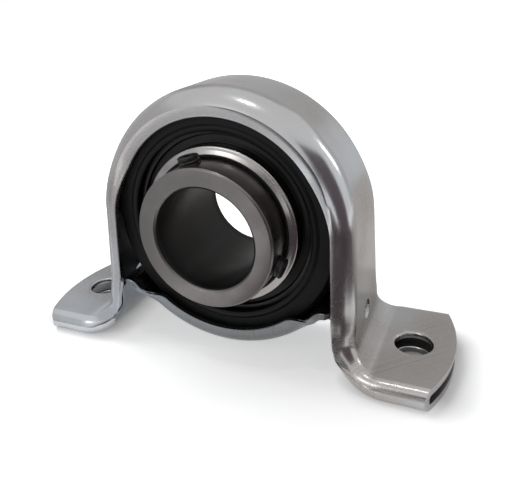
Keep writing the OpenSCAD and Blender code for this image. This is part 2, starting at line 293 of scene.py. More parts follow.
class EffectGroup:
    """A shader node group with named inputs and outputs, built once."""

    name: str = ""
    inputs: dict[str, float] = {}
    outputs: tuple[str, ...] = ()

    def __init__(self) -> None:
        """Make the group's interface and fill it."""
        self.tree = bpy.data.node_groups.new(self.name, "ShaderNodeTree")
        graph = Graph(self.tree)
        self.tree.interface.new_socket("Vector", in_out="INPUT", socket_type="NodeSocketVector")
        for key, value in self.inputs.items():
            socket = self.tree.interface.new_socket(key, in_out="INPUT", socket_type="NodeSocketFloat")
            socket.default_value = value
        for key in self.outputs:
            self.tree.interface.new_socket(key, in_out="OUTPUT", socket_type="NodeSocketFloat")
        entry = graph.node("NodeGroupInput")
        leave = graph.node("NodeGroupOutput")
        for key, socket in self.fill(graph, entry).items():
            graph.feed(leave.inputs[key], socket)

    def fill(self, graph: Graph, entry: bpy.types.Node) -> dict[str, Socket]:
        """Build the group's nodes.

        Args:
            graph: Graph of the group.
            entry: Group input node.

        Returns:
            Output name to socket.
        """
        raise NotImplementedError

    def place(self, graph: Graph, vector: Socket, **values: float) -> bpy.types.Node:
        """Put the group in a material.

        Args:
            graph: Graph of the material.
            vector: Coordinates.
            values: Values of the group's inputs.

        Returns:
            The group node.
        """
        made = graph.node("ShaderNodeGroup", node_tree=self.tree)
        graph.feed(made.inputs["Vector"], vector)
        for key, value in values.items():
            made.inputs[key].default_value = value
        return made


class MottleGroup(EffectGroup):
    """Soft cloudy patches with a finer speckle in them, as on plated or oiled metal."""

    name = "mottle"
    inputs = {"Patch": 60.0, "Speckle": 900.0, "Blend": 0.3}
    outputs = ("Mask",)

    def fill(self, graph: Graph, entry: bpy.types.Node) -> dict[str, Socket]:
        """Build two noises and blend them.

        Args:
            graph: Graph of the group.
            entry: Group input node.

        Returns:
            The mask.
        """
        vector = entry.outputs["Vector"]
        layers: list[Socket] = []
        for key, detail in (("Patch", 4.0), ("Speckle", 2.0)):
            noise = graph.node("ShaderNodeTexNoise")
            graph.feed(noise.inputs["Vector"], vector)
            graph.feed(noise.inputs["Scale"], entry.outputs[key])
            noise.inputs["Detail"].default_value = detail
            layers.append(graph.spread(noise.outputs[0], 0.32, 0.68))
        blend = entry.outputs["Blend"]
        patch = graph.math("MULTIPLY", layers[0], graph.math("SUBTRACT", 1.0, blend))
        return {"Mask": graph.math("ADD", patch, graph.math("MULTIPLY", layers[1], blend))}


class ScratchGroup(EffectGroup):
    """Thin handling scratches that run roughly one way."""

    name = "scratches"
    inputs = {"Scale": 220.0, "Amount": 0.5}
    outputs = ("Mask",)

    def fill(self, graph: Graph, entry: bpy.types.Node) -> dict[str, Socket]:
        """Stretch two noises along different lines and keep their narrow crests.

        Args:
            graph: Graph of the group.
            entry: Group input node.

        Returns:
            The mask.
        """
        crests: list[Socket] = []
        for turn, squeeze in (((0.2, 0.5, 0.1), (1.0, 0.05, 0.6)), ((0.7, -0.3, 0.9), (0.06, 1.0, 0.5))):
            mapping = graph.node("ShaderNodeMapping")
            graph.feed(mapping.inputs["Vector"], entry.outputs["Vector"])
            mapping.inputs["Rotation"].default_value = turn
            mapping.inputs["Scale"].default_value = squeeze
            noise = graph.node("ShaderNodeTexNoise")
            graph.feed(noise.inputs["Vector"], mapping.outputs["Vector"])
            graph.feed(noise.inputs["Scale"], entry.outputs["Scale"])
            noise.inputs["Detail"].default_value = 1.0
            middle = graph.math("ABSOLUTE", graph.math("SUBTRACT", noise.outputs[0], 0.5))
            crests.append(graph.spread(middle, 0.0, 0.012, 1.0, 0.0))
        both = graph.math("MAXIMUM", crests[0], crests[1])
        return {"Mask": graph.math("MULTIPLY", both, entry.outputs["Amount"])}


class TurnedGroup(EffectGroup):
    """Fine circular marks of turning or grinding round the shaft axis."""

    name = "turned_marks"
    inputs = {"Pitch": 5200.0, "Wander": 0.15}
    outputs = ("Height", "Mask", "Radius")

    def fill(self, graph: Graph, entry: bpy.types.Node) -> dict[str, Socket]:
        """Turn the place into a radius and a depth, and read noise along both.

        Args:
            graph: Graph of the group.
            entry: Group input node.

        Returns:
            Height of the marks, a mask of them, and the distance from the axis in millimetres.
        """
        vector = entry.outputs["Vector"]
        x, y, z = graph.split(vector)
        radius = graph.length(x, graph.math("SUBTRACT", z, AXIS_HEIGHT * MM))
        drift = graph.math("MULTIPLY", graph.noise(vector, 90.0, 2.0), entry.outputs["Wander"])
        lane = graph.math("ADD", graph.math("ADD", radius, y), graph.math("MULTIPLY", drift, MM))
        line = graph.noise_along(graph.math("MULTIPLY", lane, entry.outputs["Pitch"]), 2.0)
        return {
            "Height": line,
            "Mask": graph.spread(line, 0.3, 0.7),
            "Radius": graph.math("DIVIDE", radius, MM),
        }


class DrawnGroup(EffectGroup):
    """Fine lines that a press tool draws along the straps: round the arch and straight down the legs."""

    name = "drawn_lines"
    inputs = {"Pitch": 900.0, "Wander": 1.0}
    outputs = ("Mask",)

    def fill(self, graph: Graph, entry: bpy.types.Node) -> dict[str, Socket]:
        """Measure how far out a place lies on the strap and read noise along that distance.

        Args:
            graph: Graph of the group.
            entry: Group input node.

        Returns:
            The mask of the lines.
        """
        vector = entry.outputs["Vector"]
        x, y, z = graph.split(vector)
        above = graph.math("MAXIMUM", graph.math("SUBTRACT", z, AXIS_HEIGHT * MM), 0.0)
        out = graph.math("SUBTRACT", graph.length(x, above), y)
        drift = graph.math("MULTIPLY", graph.noise(vector, 45.0, 2.0), entry.outputs["Wander"])
        lane = graph.math("ADD", out, graph.math("MULTIPLY", drift, MM))
        line = graph.noise_along(graph.math("MULTIPLY", lane, entry.outputs["Pitch"]), 3.0)
        return {"Mask": graph.spread(line, 0.35, 0.65)}


@dataclass
class Effects:
    """The shared effect groups."""

    mottle: MottleGroup = field(default_factory=MottleGroup)
    scratches: ScratchGroup = field(default_factory=ScratchGroup)
    turned: TurnedGroup = field(default_factory=TurnedGroup)
    drawn: DrawnGroup = field(default_factory=DrawnGroup)


# Finishes


@dataclass(frozen=True)
class Finish:
    """Base of every finish: a named Principled material."""

    name: str

    def start(self) -> tuple[bpy.types.Material, Graph, bpy.types.Node, Socket]:
        """Make the material with its shader and coordinates.

        Returns:
            The material, its graph, its Principled node and object coordinates.
        """
        material, graph = new_material(self.name)
        shader = graph.node("ShaderNodeBsdfPrincipled")
        graph.show(shader.outputs[0])
        place = graph.node("ShaderNodeTexCoord")
        return material, graph, shader, place.outputs["Object"]

    def bump(self, graph: Graph, shader: bpy.types.Node, height: Socket, depth_mm: float) -> None:
        """Raise the surface by a height map.

        Args:
            graph: Graph of the material.
            shader: Principled node.
            height: Height socket.
            depth_mm: Height that a value of 1 stands for.
        """
        node = graph.node("ShaderNodeBump")
        node.inputs["Strength"].default_value = 1.0
        node.inputs["Distance"].default_value = depth_mm * MM
        graph.feed(node.inputs["Height"], height)
        graph.feed(shader.inputs["Normal"], node.outputs[0])

    def roughen(self, graph: Graph, shader: bpy.types.Node, cloud: Socket, low: float, high: float) -> None:
        """Let the roughness follow a mask.

        Args:
            graph: Graph of the material.
            shader: Principled node.
            cloud: Mask from 0 to 1.
            low: Roughness where the mask is 0.
            high: Roughness where the mask is 1.
        """
        graph.feed(shader.inputs["Roughness"], graph.spread(cloud, 0.0, 1.0, low, high))

    def build(self, effects: Effects) -> bpy.types.Material:
        """Make the material.

        Args:
            effects: Shared effect groups.

        Returns:
            The material.
        """
        raise NotImplementedError


@dataclass(frozen=True)
class PlatedSheet(Finish):
    """Thin bright zinc on pressed sheet, with cloudy patches, die marks and light scratches."""

    cool: Color = (0.49, 0.512, 0.535, 1.0)
    warm: Color = (0.42, 0.40, 0.388, 1.0)
    shade: float = 0.62
    rough_low: float = 0.17
    rough_high: float = 0.28
    mark_depth: float = 0.007

    def build(self, effects: Effects) -> bpy.types.Material:
        """Make the plated steel material.

        Args:
            effects: Shared effect groups.

        Returns:
            The material.
        """
        material, graph, shader, place = self.start()
        cloud = effects.mottle.place(graph, place, Patch=55.0, Speckle=1400.0, Blend=0.22).outputs["Mask"]
        tint = graph.noise(place, 26.0, 2.0)
        worn = effects.scratches.place(graph, place, Scale=260.0, Amount=0.55).outputs["Mask"]
        color = graph.mix(graph.spread(tint, 0.35, 0.65), self.cool, self.warm)
        lines = effects.drawn.place(graph, place, Pitch=1100.0, Wander=0.9).outputs["Mask"]
        shade = tuple(self.shade * c for c in self.warm[:3]) + (1.0,)
        streaks = graph.spread(lines, 0.2, 1.0, 0.15, 0.6)
        dirt = graph.math("MULTIPLY", graph.spread(cloud, 0.45, 1.0), streaks)
        graph.feed(shader.inputs["Base Color"], graph.mix(dirt, color, shade))
        shader.inputs["Metallic"].default_value = 1.0
        rough = graph.spread(cloud, 0.0, 1.0, self.rough_low, self.rough_high)
        graph.feed(shader.inputs["Roughness"], graph.math("ADD", rough, graph.math("MULTIPLY", worn, 0.08)))
        ripple = graph.math("ADD", graph.noise(place, 320.0, 3.0, 0.5), graph.math("MULTIPLY", lines, 0.35))
        wave = graph.math("MULTIPLY", graph.noise(place, 75.0, 1.0), 5.0)
        fine = graph.math("ADD", wave, graph.math("MULTIPLY", graph.noise(place, 4200.0, 2.0), 0.25))
        height = graph.math("SUBTRACT", graph.math("ADD", ripple, fine), graph.math("MULTIPLY", worn, 0.5))
        self.bump(graph, shader, height, self.mark_depth)
        return material


@dataclass(frozen=True)
class TurnedSteel(Finish):
    """Ground or turned bearing steel with circular marks and an oily film, and a near-black bore that is
    painted shade.
    """

    color: Color = (0.19, 0.178, 0.175, 1.0)
    film: Color = (0.12, 0.112, 0.11, 1.0)
    # Painted shade: the bore colour stands for the shade deep inside the bore.
    bore: Color = (0.020, 0.019, 0.0185, 1.0)
    outside: Color = (0.25, 0.225, 0.22, 1.0)
    bore_radius: float = 15.0
    outside_radius: float = 20.6
    film_share: float = 0.4
    rough_low: float = 0.26
    rough_high: float = 0.40
    mark_depth: float = 0.004
    mark_pitch: float = 5200.0

    def build(self, effects: Effects) -> bpy.types.Material:
        """Make the turned steel material.

        Args:
            effects: Shared effect groups.

        Returns:
            The material.
        """
        material, graph, shader, place = self.start()
        cloud = effects.mottle.place(graph, place, Patch=85.0, Speckle=700.0, Blend=0.15).outputs["Mask"]
        marks = effects.turned.place(graph, place, Pitch=self.mark_pitch, Wander=0.2)
        film = graph.spread(cloud, 0.25, 0.8, 0.0, self.film_share)
        base = graph.mix(film, self.color, self.film)
        lined = graph.mix(graph.math("MULTIPLY", marks.outputs["Mask"], 0.18), base, self.film)
        radius = marks.outputs["Radius"]
        face = graph.spread(radius, self.bore_radius + 0.1, self.bore_radius + 0.4)
        edge = graph.spread(radius, self.outside_radius - 0.12, self.outside_radius - 0.03)
        # Painted shade: the bore's surface takes the near-black bore colour.
        inside = graph.mix(face, self.bore, lined)
        graph.feed(shader.inputs["Base Color"], graph.mix(edge, inside, self.outside))
        shader.inputs["Metallic"].default_value = 1.0
        self.roughen(graph, shader, cloud, self.rough_low, self.rough_high)
        self.bump(graph, shader, marks.outputs["Height"], self.mark_depth)
        return material


@dataclass(frozen=True)
class PressedShell(Finish):
    """Smooth pressed seal shell, bright with dark oily smudges, and near black past its rim as painted shade.
    """

    color: Color = (0.40, 0.385, 0.375, 1.0)
    smudge: Color = (0.10, 0.095, 0.095, 1.0)
    # Painted shade: the near-black colour past the rim, for the flange and wall in the recess behind the
    # rubber lip.
    recess_shade: Color = (0.022, 0.021, 0.021, 1.0)
    rim_radius: float = 23.95
    rough_low: float = 0.20
    rough_high: float = 0.34
    mark_depth: float = 0.002

    def build(self, effects: Effects) -> bpy.types.Material:
        """Make the shell material.

        Args:
            effects: Shared effect groups.

        Returns:
            The material.
        """
        material, graph, shader, place = self.start()
        cloud = graph.noise(place, 62.0, 2.5, 0.45)
        marks = effects.turned.place(graph, place, Pitch=2600.0, Wander=0.4)
        dirt = graph.spread(cloud, 0.50, 0.66, 0.0, 0.75)
        base = graph.mix(dirt, self.color, self.smudge)
        # Painted shade: past the rim the shell turns near black.
        recess_shade_mask = graph.spread(marks.outputs["Radius"], self.rim_radius - 0.12, self.rim_radius + 0.05)
        graph.feed(shader.inputs["Base Color"], graph.mix(recess_shade_mask, base, self.recess_shade))
        shader.inputs["Metallic"].default_value = 1.0
        rough = graph.spread(cloud, 0.3, 0.7, self.rough_low, self.rough_high)
        graph.feed(shader.inputs["Roughness"], rough)
        self.bump(graph, shader, marks.outputs["Height"], self.mark_depth)
        return material


@dataclass(frozen=True)
class MouldedRubber(Finish):
    """Matte moulded rubber with a fine grain and faint bloom."""

    color: Color = (0.0028, 0.0027, 0.0028, 1.0)
    bloom: Color = (0.0065, 0.0064, 0.0066, 1.0)
    rough_low: float = 0.44
    rough_high: float = 0.60
    shine: float = 0.22
    grain_depth: float = 0.012

    def build(self, effects: Effects) -> bpy.types.Material:
        """Make the rubber material.

        Args:
            effects: Shared effect groups.

        Returns:
            The material.
        """
        material, graph, shader, place = self.start()
        cloud = effects.mottle.place(graph, place, Patch=120.0, Speckle=2200.0, Blend=0.35).outputs["Mask"]
        bloom = graph.spread(cloud, 0.35, 0.95)
        graph.feed(shader.inputs["Base Color"], graph.mix(bloom, self.color, self.bloom))
        self.roughen(graph, shader, cloud, self.rough_low, self.rough_high)
        shader.inputs["Specular IOR Level"].default_value = self.shine
        swell = graph.math("MULTIPLY", graph.noise(place, 300.0), 0.8)
        grain = graph.math("ADD", graph.noise(place, 2600.0, 2.0), swell)
        self.bump(graph, shader, grain, self.grain_depth)
        return material


@dataclass(frozen=True)
class BlackOxide(Finish):
    """Blackened screw steel, rubbed paler on its high spots."""

    color: Color = (0.012, 0.012, 0.013, 1.0)
    rubbed: Color = (0.09, 0.088, 0.085, 1.0)
    metal_share: float = 0.35
    rough_low: float = 0.34
    rough_high: float = 0.55
    grain_depth: float = 0.006

    def build(self, effects: Effects) -> bpy.types.Material:
        """Make the black oxide material.

        Args:
            effects: Shared effect groups.

        Returns:
            The material.
        """
        material, graph, shader, place = self.start()
        cloud = effects.mottle.place(graph, place, Patch=420.0, Speckle=3200.0, Blend=0.4).outputs["Mask"]
        rub = graph.spread(cloud, 0.6, 1.0)
        graph.feed(shader.inputs["Base Color"], graph.mix(rub, self.color, self.rubbed))
        shader.inputs["Metallic"].default_value = self.metal_share
        self.roughen(graph, shader, cloud, self.rough_low, self.rough_high)
        self.bump(graph, shader, graph.noise(place, 3600.0, 2.0), self.grain_depth)
        return material


@dataclass(frozen=True)
class PolishedSteel(Finish):
    """Lapped ball steel, nearly a mirror, with a thin film of grease."""

    color: Color = (0.62, 0.62, 0.63, 1.0)
    grease: Color = (0.38, 0.35, 0.28, 1.0)
    rough_low: float = 0.05
    rough_high: float = 0.16
    grain_depth: float = 0.0006

    def build(self, effects: Effects) -> bpy.types.Material:
        """Make the polished steel material.

        Args:
            effects: Shared effect groups.

        Returns:
            The material.
        """
        material, graph, shader, place = self.start()
        cloud = effects.mottle.place(graph, place, Patch=240.0, Speckle=1800.0, Blend=0.2).outputs["Mask"]
        film = graph.spread(cloud, 0.45, 1.0, 0.0, 0.5)
        graph.feed(shader.inputs["Base Color"], graph.mix(film, self.color, self.grease))
        shader.inputs["Metallic"].default_value = 1.0
        self.roughen(graph, shader, cloud, self.rough_low, self.rough_high)
        self.bump(graph, shader, graph.noise(place, 900.0, 2.0), self.grain_depth)
        return material


class Palette:
    """Builds each finish once and hands out its material."""

    def __init__(self) -> None:
        """Build every finish of the object."""
        effects = Effects()
        finishes: dict[str, Finish] = {
            "zinc_steel": PlatedSheet("zinc_sheet"),
            # Painted shade: a darker copy of the zinc for faces that look into the straps, bolt hole walls
            # and soles inside the feet.
            "zinc_painted_shade": PlatedSheet("zinc_sheet_painted_shade", cool=(0.28, 0.285, 0.30, 1.0),
                                       warm=(0.26, 0.25, 0.25, 1.0), rough_low=0.35, rough_high=0.5),
            # Painted shade: a darker copy of the zinc for the saddle under the bearing.
            "zinc_saddle_shaded": PlatedSheet("zinc_saddle_shaded", cool=(0.20, 0.22, 0.24, 1.0),
                                       warm=(0.215, 0.22, 0.225, 1.0)),
            "rubber": MouldedRubber("cushion_rubber"),
            # Painted shade: the outer race is near black, the shade of its face deep behind the rubber lip.
            "bearing_steel": TurnedSteel("outer_race_steel", color=(0.035, 0.034, 0.033, 1.0),
                                         film=(0.02, 0.02, 0.02, 1.0), outside=(0.05, 0.048, 0.046, 1.0),
                                         outside_radius=31.0, film_share=0.6),
            "ground_steel": TurnedSteel("inner_race_steel"),
            "ball_steel": PolishedSteel("ball_steel"),
            "cage_steel": TurnedSteel("cage_strip", color=(0.40, 0.38, 0.35, 1.0),
                                      film=(0.25, 0.23, 0.2, 1.0), outside_radius=40.0,
                                      mark_depth=0.001),
            "shell_steel": PressedShell("seal_shell"),
            "seal_rubber": MouldedRubber("seal_lip_rubber", color=(0.006, 0.006, 0.006, 1.0)),
            "black_steel": BlackOxide("set_screw_black"),
        }
        self.materials = {slot: finish.build(effects) for slot, finish in finishes.items()}

    def dress(self, piece: bpy.types.Object, slot: str) -> None:
        """Give a piece one of the finishes.

        Args:
            piece: Mesh object.
            slot: Name of the finish, mostly the record's material slot.
        """
        if piece.material_slots and "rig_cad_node" in piece:
            for each in piece.material_slots:
                each.material = self.materials[slot]
        else:
            piece.data.materials.append(self.materials[slot])


# Mesh tools


def arc_points(centre: Point, radius: float, start: float, end: float, steps: int) -> list[Point]:
    """Points along an arc.

    Args:
        centre: Centre of the arc.
        radius: Radius.
        start: First angle in degrees.
        end: Last angle in degrees.
        steps: Number of steps.

    Returns:
        steps + 1 points.
    """
    turns = [math.radians(start + (end - start) * i / steps) for i in range(steps + 1)]
    return [(centre[0] + radius * math.cos(a), centre[1] + radius * math.sin(a)) for a in turns]


def rounded(corners: Sequence[tuple[float, float, float]], steps: int = 5) -> list[Point]:
    """Round the corners of a closed outline.

    Args:
        corners: Corner points, each with the radius of its rounding.
        steps: Steps of each rounding.

    Returns:
        The outline with arcs in place of the corners.
    """
    outline: list[Point] = []
    count = len(corners)
    for i, (x, y, radius) in enumerate(corners):
        here = Vector((x, y))
        before = Vector(corners[i - 1][:2]) - here
        after = Vector(corners[(i + 1) % count][:2]) - here
        if radius <= 0.0:
            outline.append((x, y))
            continue
        half = before.angle(after) / 2.0
        reach = min(radius / math.tan(half), 0.49 * before.length, 0.49 * after.length)
        first = here + before.normalized() * reach
        last = here + after.normalized() * reach
        for k in range(steps + 1):
            t = k / steps
            spot = first * (1 - t) ** 2 + here * 2 * t * (1 - t) + last * t**2
            outline.append((spot.x, spot.y))
    return outline


def smooth_step(t: float) -> float:
    """Ease a share between 0 and 1."""
    t = min(max(t, 0.0), 1.0)
    return t * t * (3.0 - 2.0 * t)


def blend(a: float, b: float, share: float) -> float:
    """Number a share of the way from a to b."""
    return a + (b - a) * share


def blend_points(a: Sequence[Point], b: Sequence[Point], share: float) -> list[Point]:
    """Outline a share of the way from a to b, both with the same number of points."""
    return [(blend(p[0], q[0], share), blend(p[1], q[1], share)) for p, q in zip(a, b)]


def sweep(
    name: str, rows: Sequence[Sequence[Vector]], ring: bool, cap: Cap, inner: frozenset[int] = frozenset()
) -> bpy.types.Object:
    """Join rows of points into a closed mesh.

    Args:
        name: Name of the piece.
        rows: Closed outlines in millimetres, one after the other.
        ring: Whether the last row joins the first.
        cap: How the ends are closed when they don't join.
        inner: Outline edges whose faces take the second material.

    Returns:
        The new object.
    """
    mesh = bmesh.new()
    made = [[mesh.verts.new(p * MM) for p in row] for row in rows]
    width = len(rows[0])
    last = len(rows) if ring else len(rows) - 1
    for j in range(last):
        a, b = made[j], made[(j + 1) % len(rows)]
        for i in range(width):
            k = (i + 1) % width
            face = mesh.faces.new((a[i], a[k], b[k], b[i]))
            face.material_index = int(i in inner)
    for end in (made[0], made[-1]) if not ring else ():
        if cap is Cap.FAN:
            mesh.faces.new(end)
        elif cap is Cap.LADDER:
            rungs(mesh, end)
    bmesh.ops.recalc_face_normals(mesh, faces=mesh.faces)
    data = bpy.data.meshes.new(name)
    mesh.to_mesh(data)
    mesh.free()
    piece = bpy.data.objects.new(name, data)
    bpy.context.scene.collection.objects.link(piece)
    soften(piece)
    return piece


def rungs(mesh: bmesh.types.BMesh, end: Sequence[bmesh.types.BMVert]) -> None:
    """Close the end of a sheet with quads from its outer to its inner line.

    Args:
        mesh: Mesh to add to.
        end: Outline of the end, one half and then its mirror image in reverse.
    """
    half = len(end) // 2
    for k in range(half // 2 - 1):
        mesh.faces.new((end[k], end[k + 1], end[half - 2 - k], end[half - 1 - k]))
        m = len(end) - 1 - k
        mesh.faces.new((end[m], end[m - 1], end[half + k + 1], end[half + k]))
    mesh.faces.new((end[0], end[half - 1], end[half], end[-1]))


def soften(piece: bpy.types.Object, crease: float = 38.0) -> None:
    """Shade a piece smooth, apart from its sharp edges.

    Args:
        piece: Mesh object.
        crease: Angle in degrees from which an edge stays sharp.
    """
    for face in piece.data.polygons:
        face.use_smooth = True
    piece.data.set_sharp_from_angle(angle=math.radians(crease))


def on_axis(radius: float, out: float, angle: float) -> Vector:
    """Place a point of a turned piece.

    Args:
        radius: Distance from the shaft axis.
        out: Distance from the ball plane towards the front.
        angle: Angle from +X towards +Z, in radians.

    Returns:
        The point in millimetres.
    """
    return Vector((radius * math.cos(angle), -out, AXIS_HEIGHT + radius * math.sin(angle)))


def turned(name: str, outline: Sequence[Point], steps: int = 192) -> bpy.types.Object:
    """Turn a closed outline round the shaft axis.

    Args:
        name: Name of the piece.
        outline: Points as radius and distance in front of the ball plane.
        steps: Steps round the axis.

    Returns:
        The new object.
    """
    angles = [2.0 * math.pi * i / steps for i in range(steps)]
    return sweep(name, [[on_axis(r, u, a) for r, u in outline] for a in angles], True, Cap.OPEN)


def punch(piece: bpy.types.Object, cutters: Sequence[bpy.types.Object]) -> None:
    """Cut holes in a piece and remove the cutters.

    Args:
        piece: Mesh object to cut.
        cutters: Closed meshes to take away from it.
    """
    for cutter in cutters:
        step = piece.modifiers.new("hole", "BOOLEAN")
        step.operation = "DIFFERENCE"
        step.solver = "EXACT"
        step.object = cutter
    bpy.context.view_layer.update()
    result = bpy.data.meshes.new_from_object(piece.evaluated_get(bpy.context.evaluated_depsgraph_get()))
    piece.modifiers.clear()
    old = piece.data
    piece.data = result
    bpy.data.meshes.remove(old)
    for cutter in cutters:
        bpy.data.objects.remove(cutter)
    soften(piece)


def drill(
    radius: float, start: Vector, end: Vector, flares: Sequence[Point], steps: int = 96
) -> bpy.types.Object:
    """Make a round cutter whose radius grows at the faces that it leaves.

    Args:
        radius: Radius of the hole.
        start: First end of the cutter's axis, in millimetres.
        end: Last end of the axis.
        flares: Distance along the axis and extra radius there, in order.
        steps: Steps round the hole.

    Returns:
        The cutter.
    """
    axis = (end - start).normalized()
    side = axis.orthogonal().normalized()
    other = axis.cross(side)
    turns = [2.0 * math.pi * i / steps for i in range(steps)]
    rows: list[list[Vector]] = []
    for along, extra in flares:
        centre = start + axis * along
        rows.append([centre + (side * math.cos(a) + other * math.sin(a)) * (radius + extra) for a in turns])
    return sweep("cutter", rows, False, Cap.FAN)


# Pressed straps


class Station(NamedTuple):
    """One cross-section of a strap: a point on its outer line, where the flanges point, the section.

    reach is the share of the way to the rounded foot end, for stations that follow it.
    """

    x: float
    z: float
    nx: float
    nz: float
    section: list[Point]
    reach: float = 0.0


@dataclass(frozen=True)
class Sheet:
    """The pressed sheet and the sections that are bent from it.

    shear is the rounding of a sheared edge, lip the part of a plain flange that stays straight,
    and the two margins keep the ends of the roll apart from that edge. edge_run is the part of a
    bare strip next to its edge, and edge_set how much further in its inner points stand.
    """

    thickness: float = 2.0
    shear: float = 0.22
    lip: float = 0.4
    inner_margin: float = 0.25
    outer_margin: float = 0.1
    edge_run: float = 3.0
    edge_set: float = 0.05
    steps: int = 10
    web_steps: int = 6

    def web(self, half: float, depth: float) -> list[Point]:
        """Points across half of a flat web, from its middle to just before its edge."""
        return [(half * (i + 0.5) / self.web_steps, depth) for i in range(self.web_steps)]

    def inner_edges(self) -> frozenset[int]:
        """Outline edges of a whole section that look into the strap, whose faces take the painted shade
        finish.
        """
        half = 2 * (self.web_steps + self.steps + 1) + 6
        first = self.web_steps + self.steps + 1 + 5
        return frozenset(range(first, 2 * half - 1 - first))

    def lipped(self, half: float, radius: float, depth: float) -> list[Point]:
        """Half of a channel section whose flange goes straight down to its edge.

        Args:
            half: Half width.
            radius: Outside radius of the rolled edge.
            depth: Depth of the flange.

        Returns:
            Points as distance across and depth.
        """
        return self.channel(half, radius, depth, min(radius, depth - self.lip), self.lip, 0.0)

    def channel(
        self, half: float, radius: float, depth: float, ridge: float, step: float, tip_in: float
    ) -> list[Point]:
        """Half of a channel section, from the middle of the web round the flange and back.

        Args:
            half: Half width over the rolled edges.
            radius: Outside radius of the rolled edge.
            depth: Depth of the flange.
            ridge: Depth at which the roll ends.
            step: Depth over which the flange comes in to its tip.
            tip_in: How far the tip stands back from the widest plane.

        Returns:
            Points as distance across and depth.
        """
        t, b, n = self.thickness, self.shear, self.steps
        inner = radius - t
        roll = math.acos((radius - ridge) / radius) if ridge < radius else math.pi / 2
        rolled = radius - radius * math.cos(roll)
        top = t + inner - inner * math.cos(roll)
        cap = depth - self.inner_margin - b
        in_roll = roll if top < cap else math.acos(max(min((t + inner - cap) / inner, 1.0), -1.0))
        v_in = t + inner - inner * math.cos(in_roll)
        tip = half - tip_in
        turns = [roll * i / n for i in range(n + 1)]
        in_turns = [in_roll * i / n for i in range(n, -1, -1)]
        outer = [(half - radius + radius * math.sin(a), radius - radius * math.cos(a)) for a in turns]
        nose = [(tip, min(rolled + step, depth - b - self.outer_margin)), (tip, depth - b), (tip - b, depth),
                (tip - t + b, depth), (tip - t, depth - b), (tip - t, (v_in + depth) / 2)]
        back = [(half - t - inner + inner * math.sin(a), t + inner - inner * math.cos(a)) for a in in_turns]
        return self.web(half - radius, 0.0) + outer + nose + back + self.web(half - t - inner, t)[::-1]

    def strip(self, half: float) -> list[Point]:
        """Half of a bare strip section with sheared edges.

        Args:
            half: Half width.

        Returns:
            Points as distance across and depth, as many as a channel has.
        """
        t, b, n = self.thickness, self.shear, self.steps
        run, back_set = self.edge_run, self.edge_set
        outer = [(half - b - run * (1 - i / n), 0.0) for i in range(n + 1)]
        nose = [(half, b)] + [(half, t * part) for part in (0.35, 0.5, 0.65)]
        nose += [(half, t - b), (half - b * 0.9, t)]
        back = [(half - b - back_set - run * (1 - i / n), t) for i in range(n, -1, -1)]
        under = self.web(half - b - (run + back_set), t)[::-1]
        return self.web(half - b - run, 0.0) + outer + nose + back + under


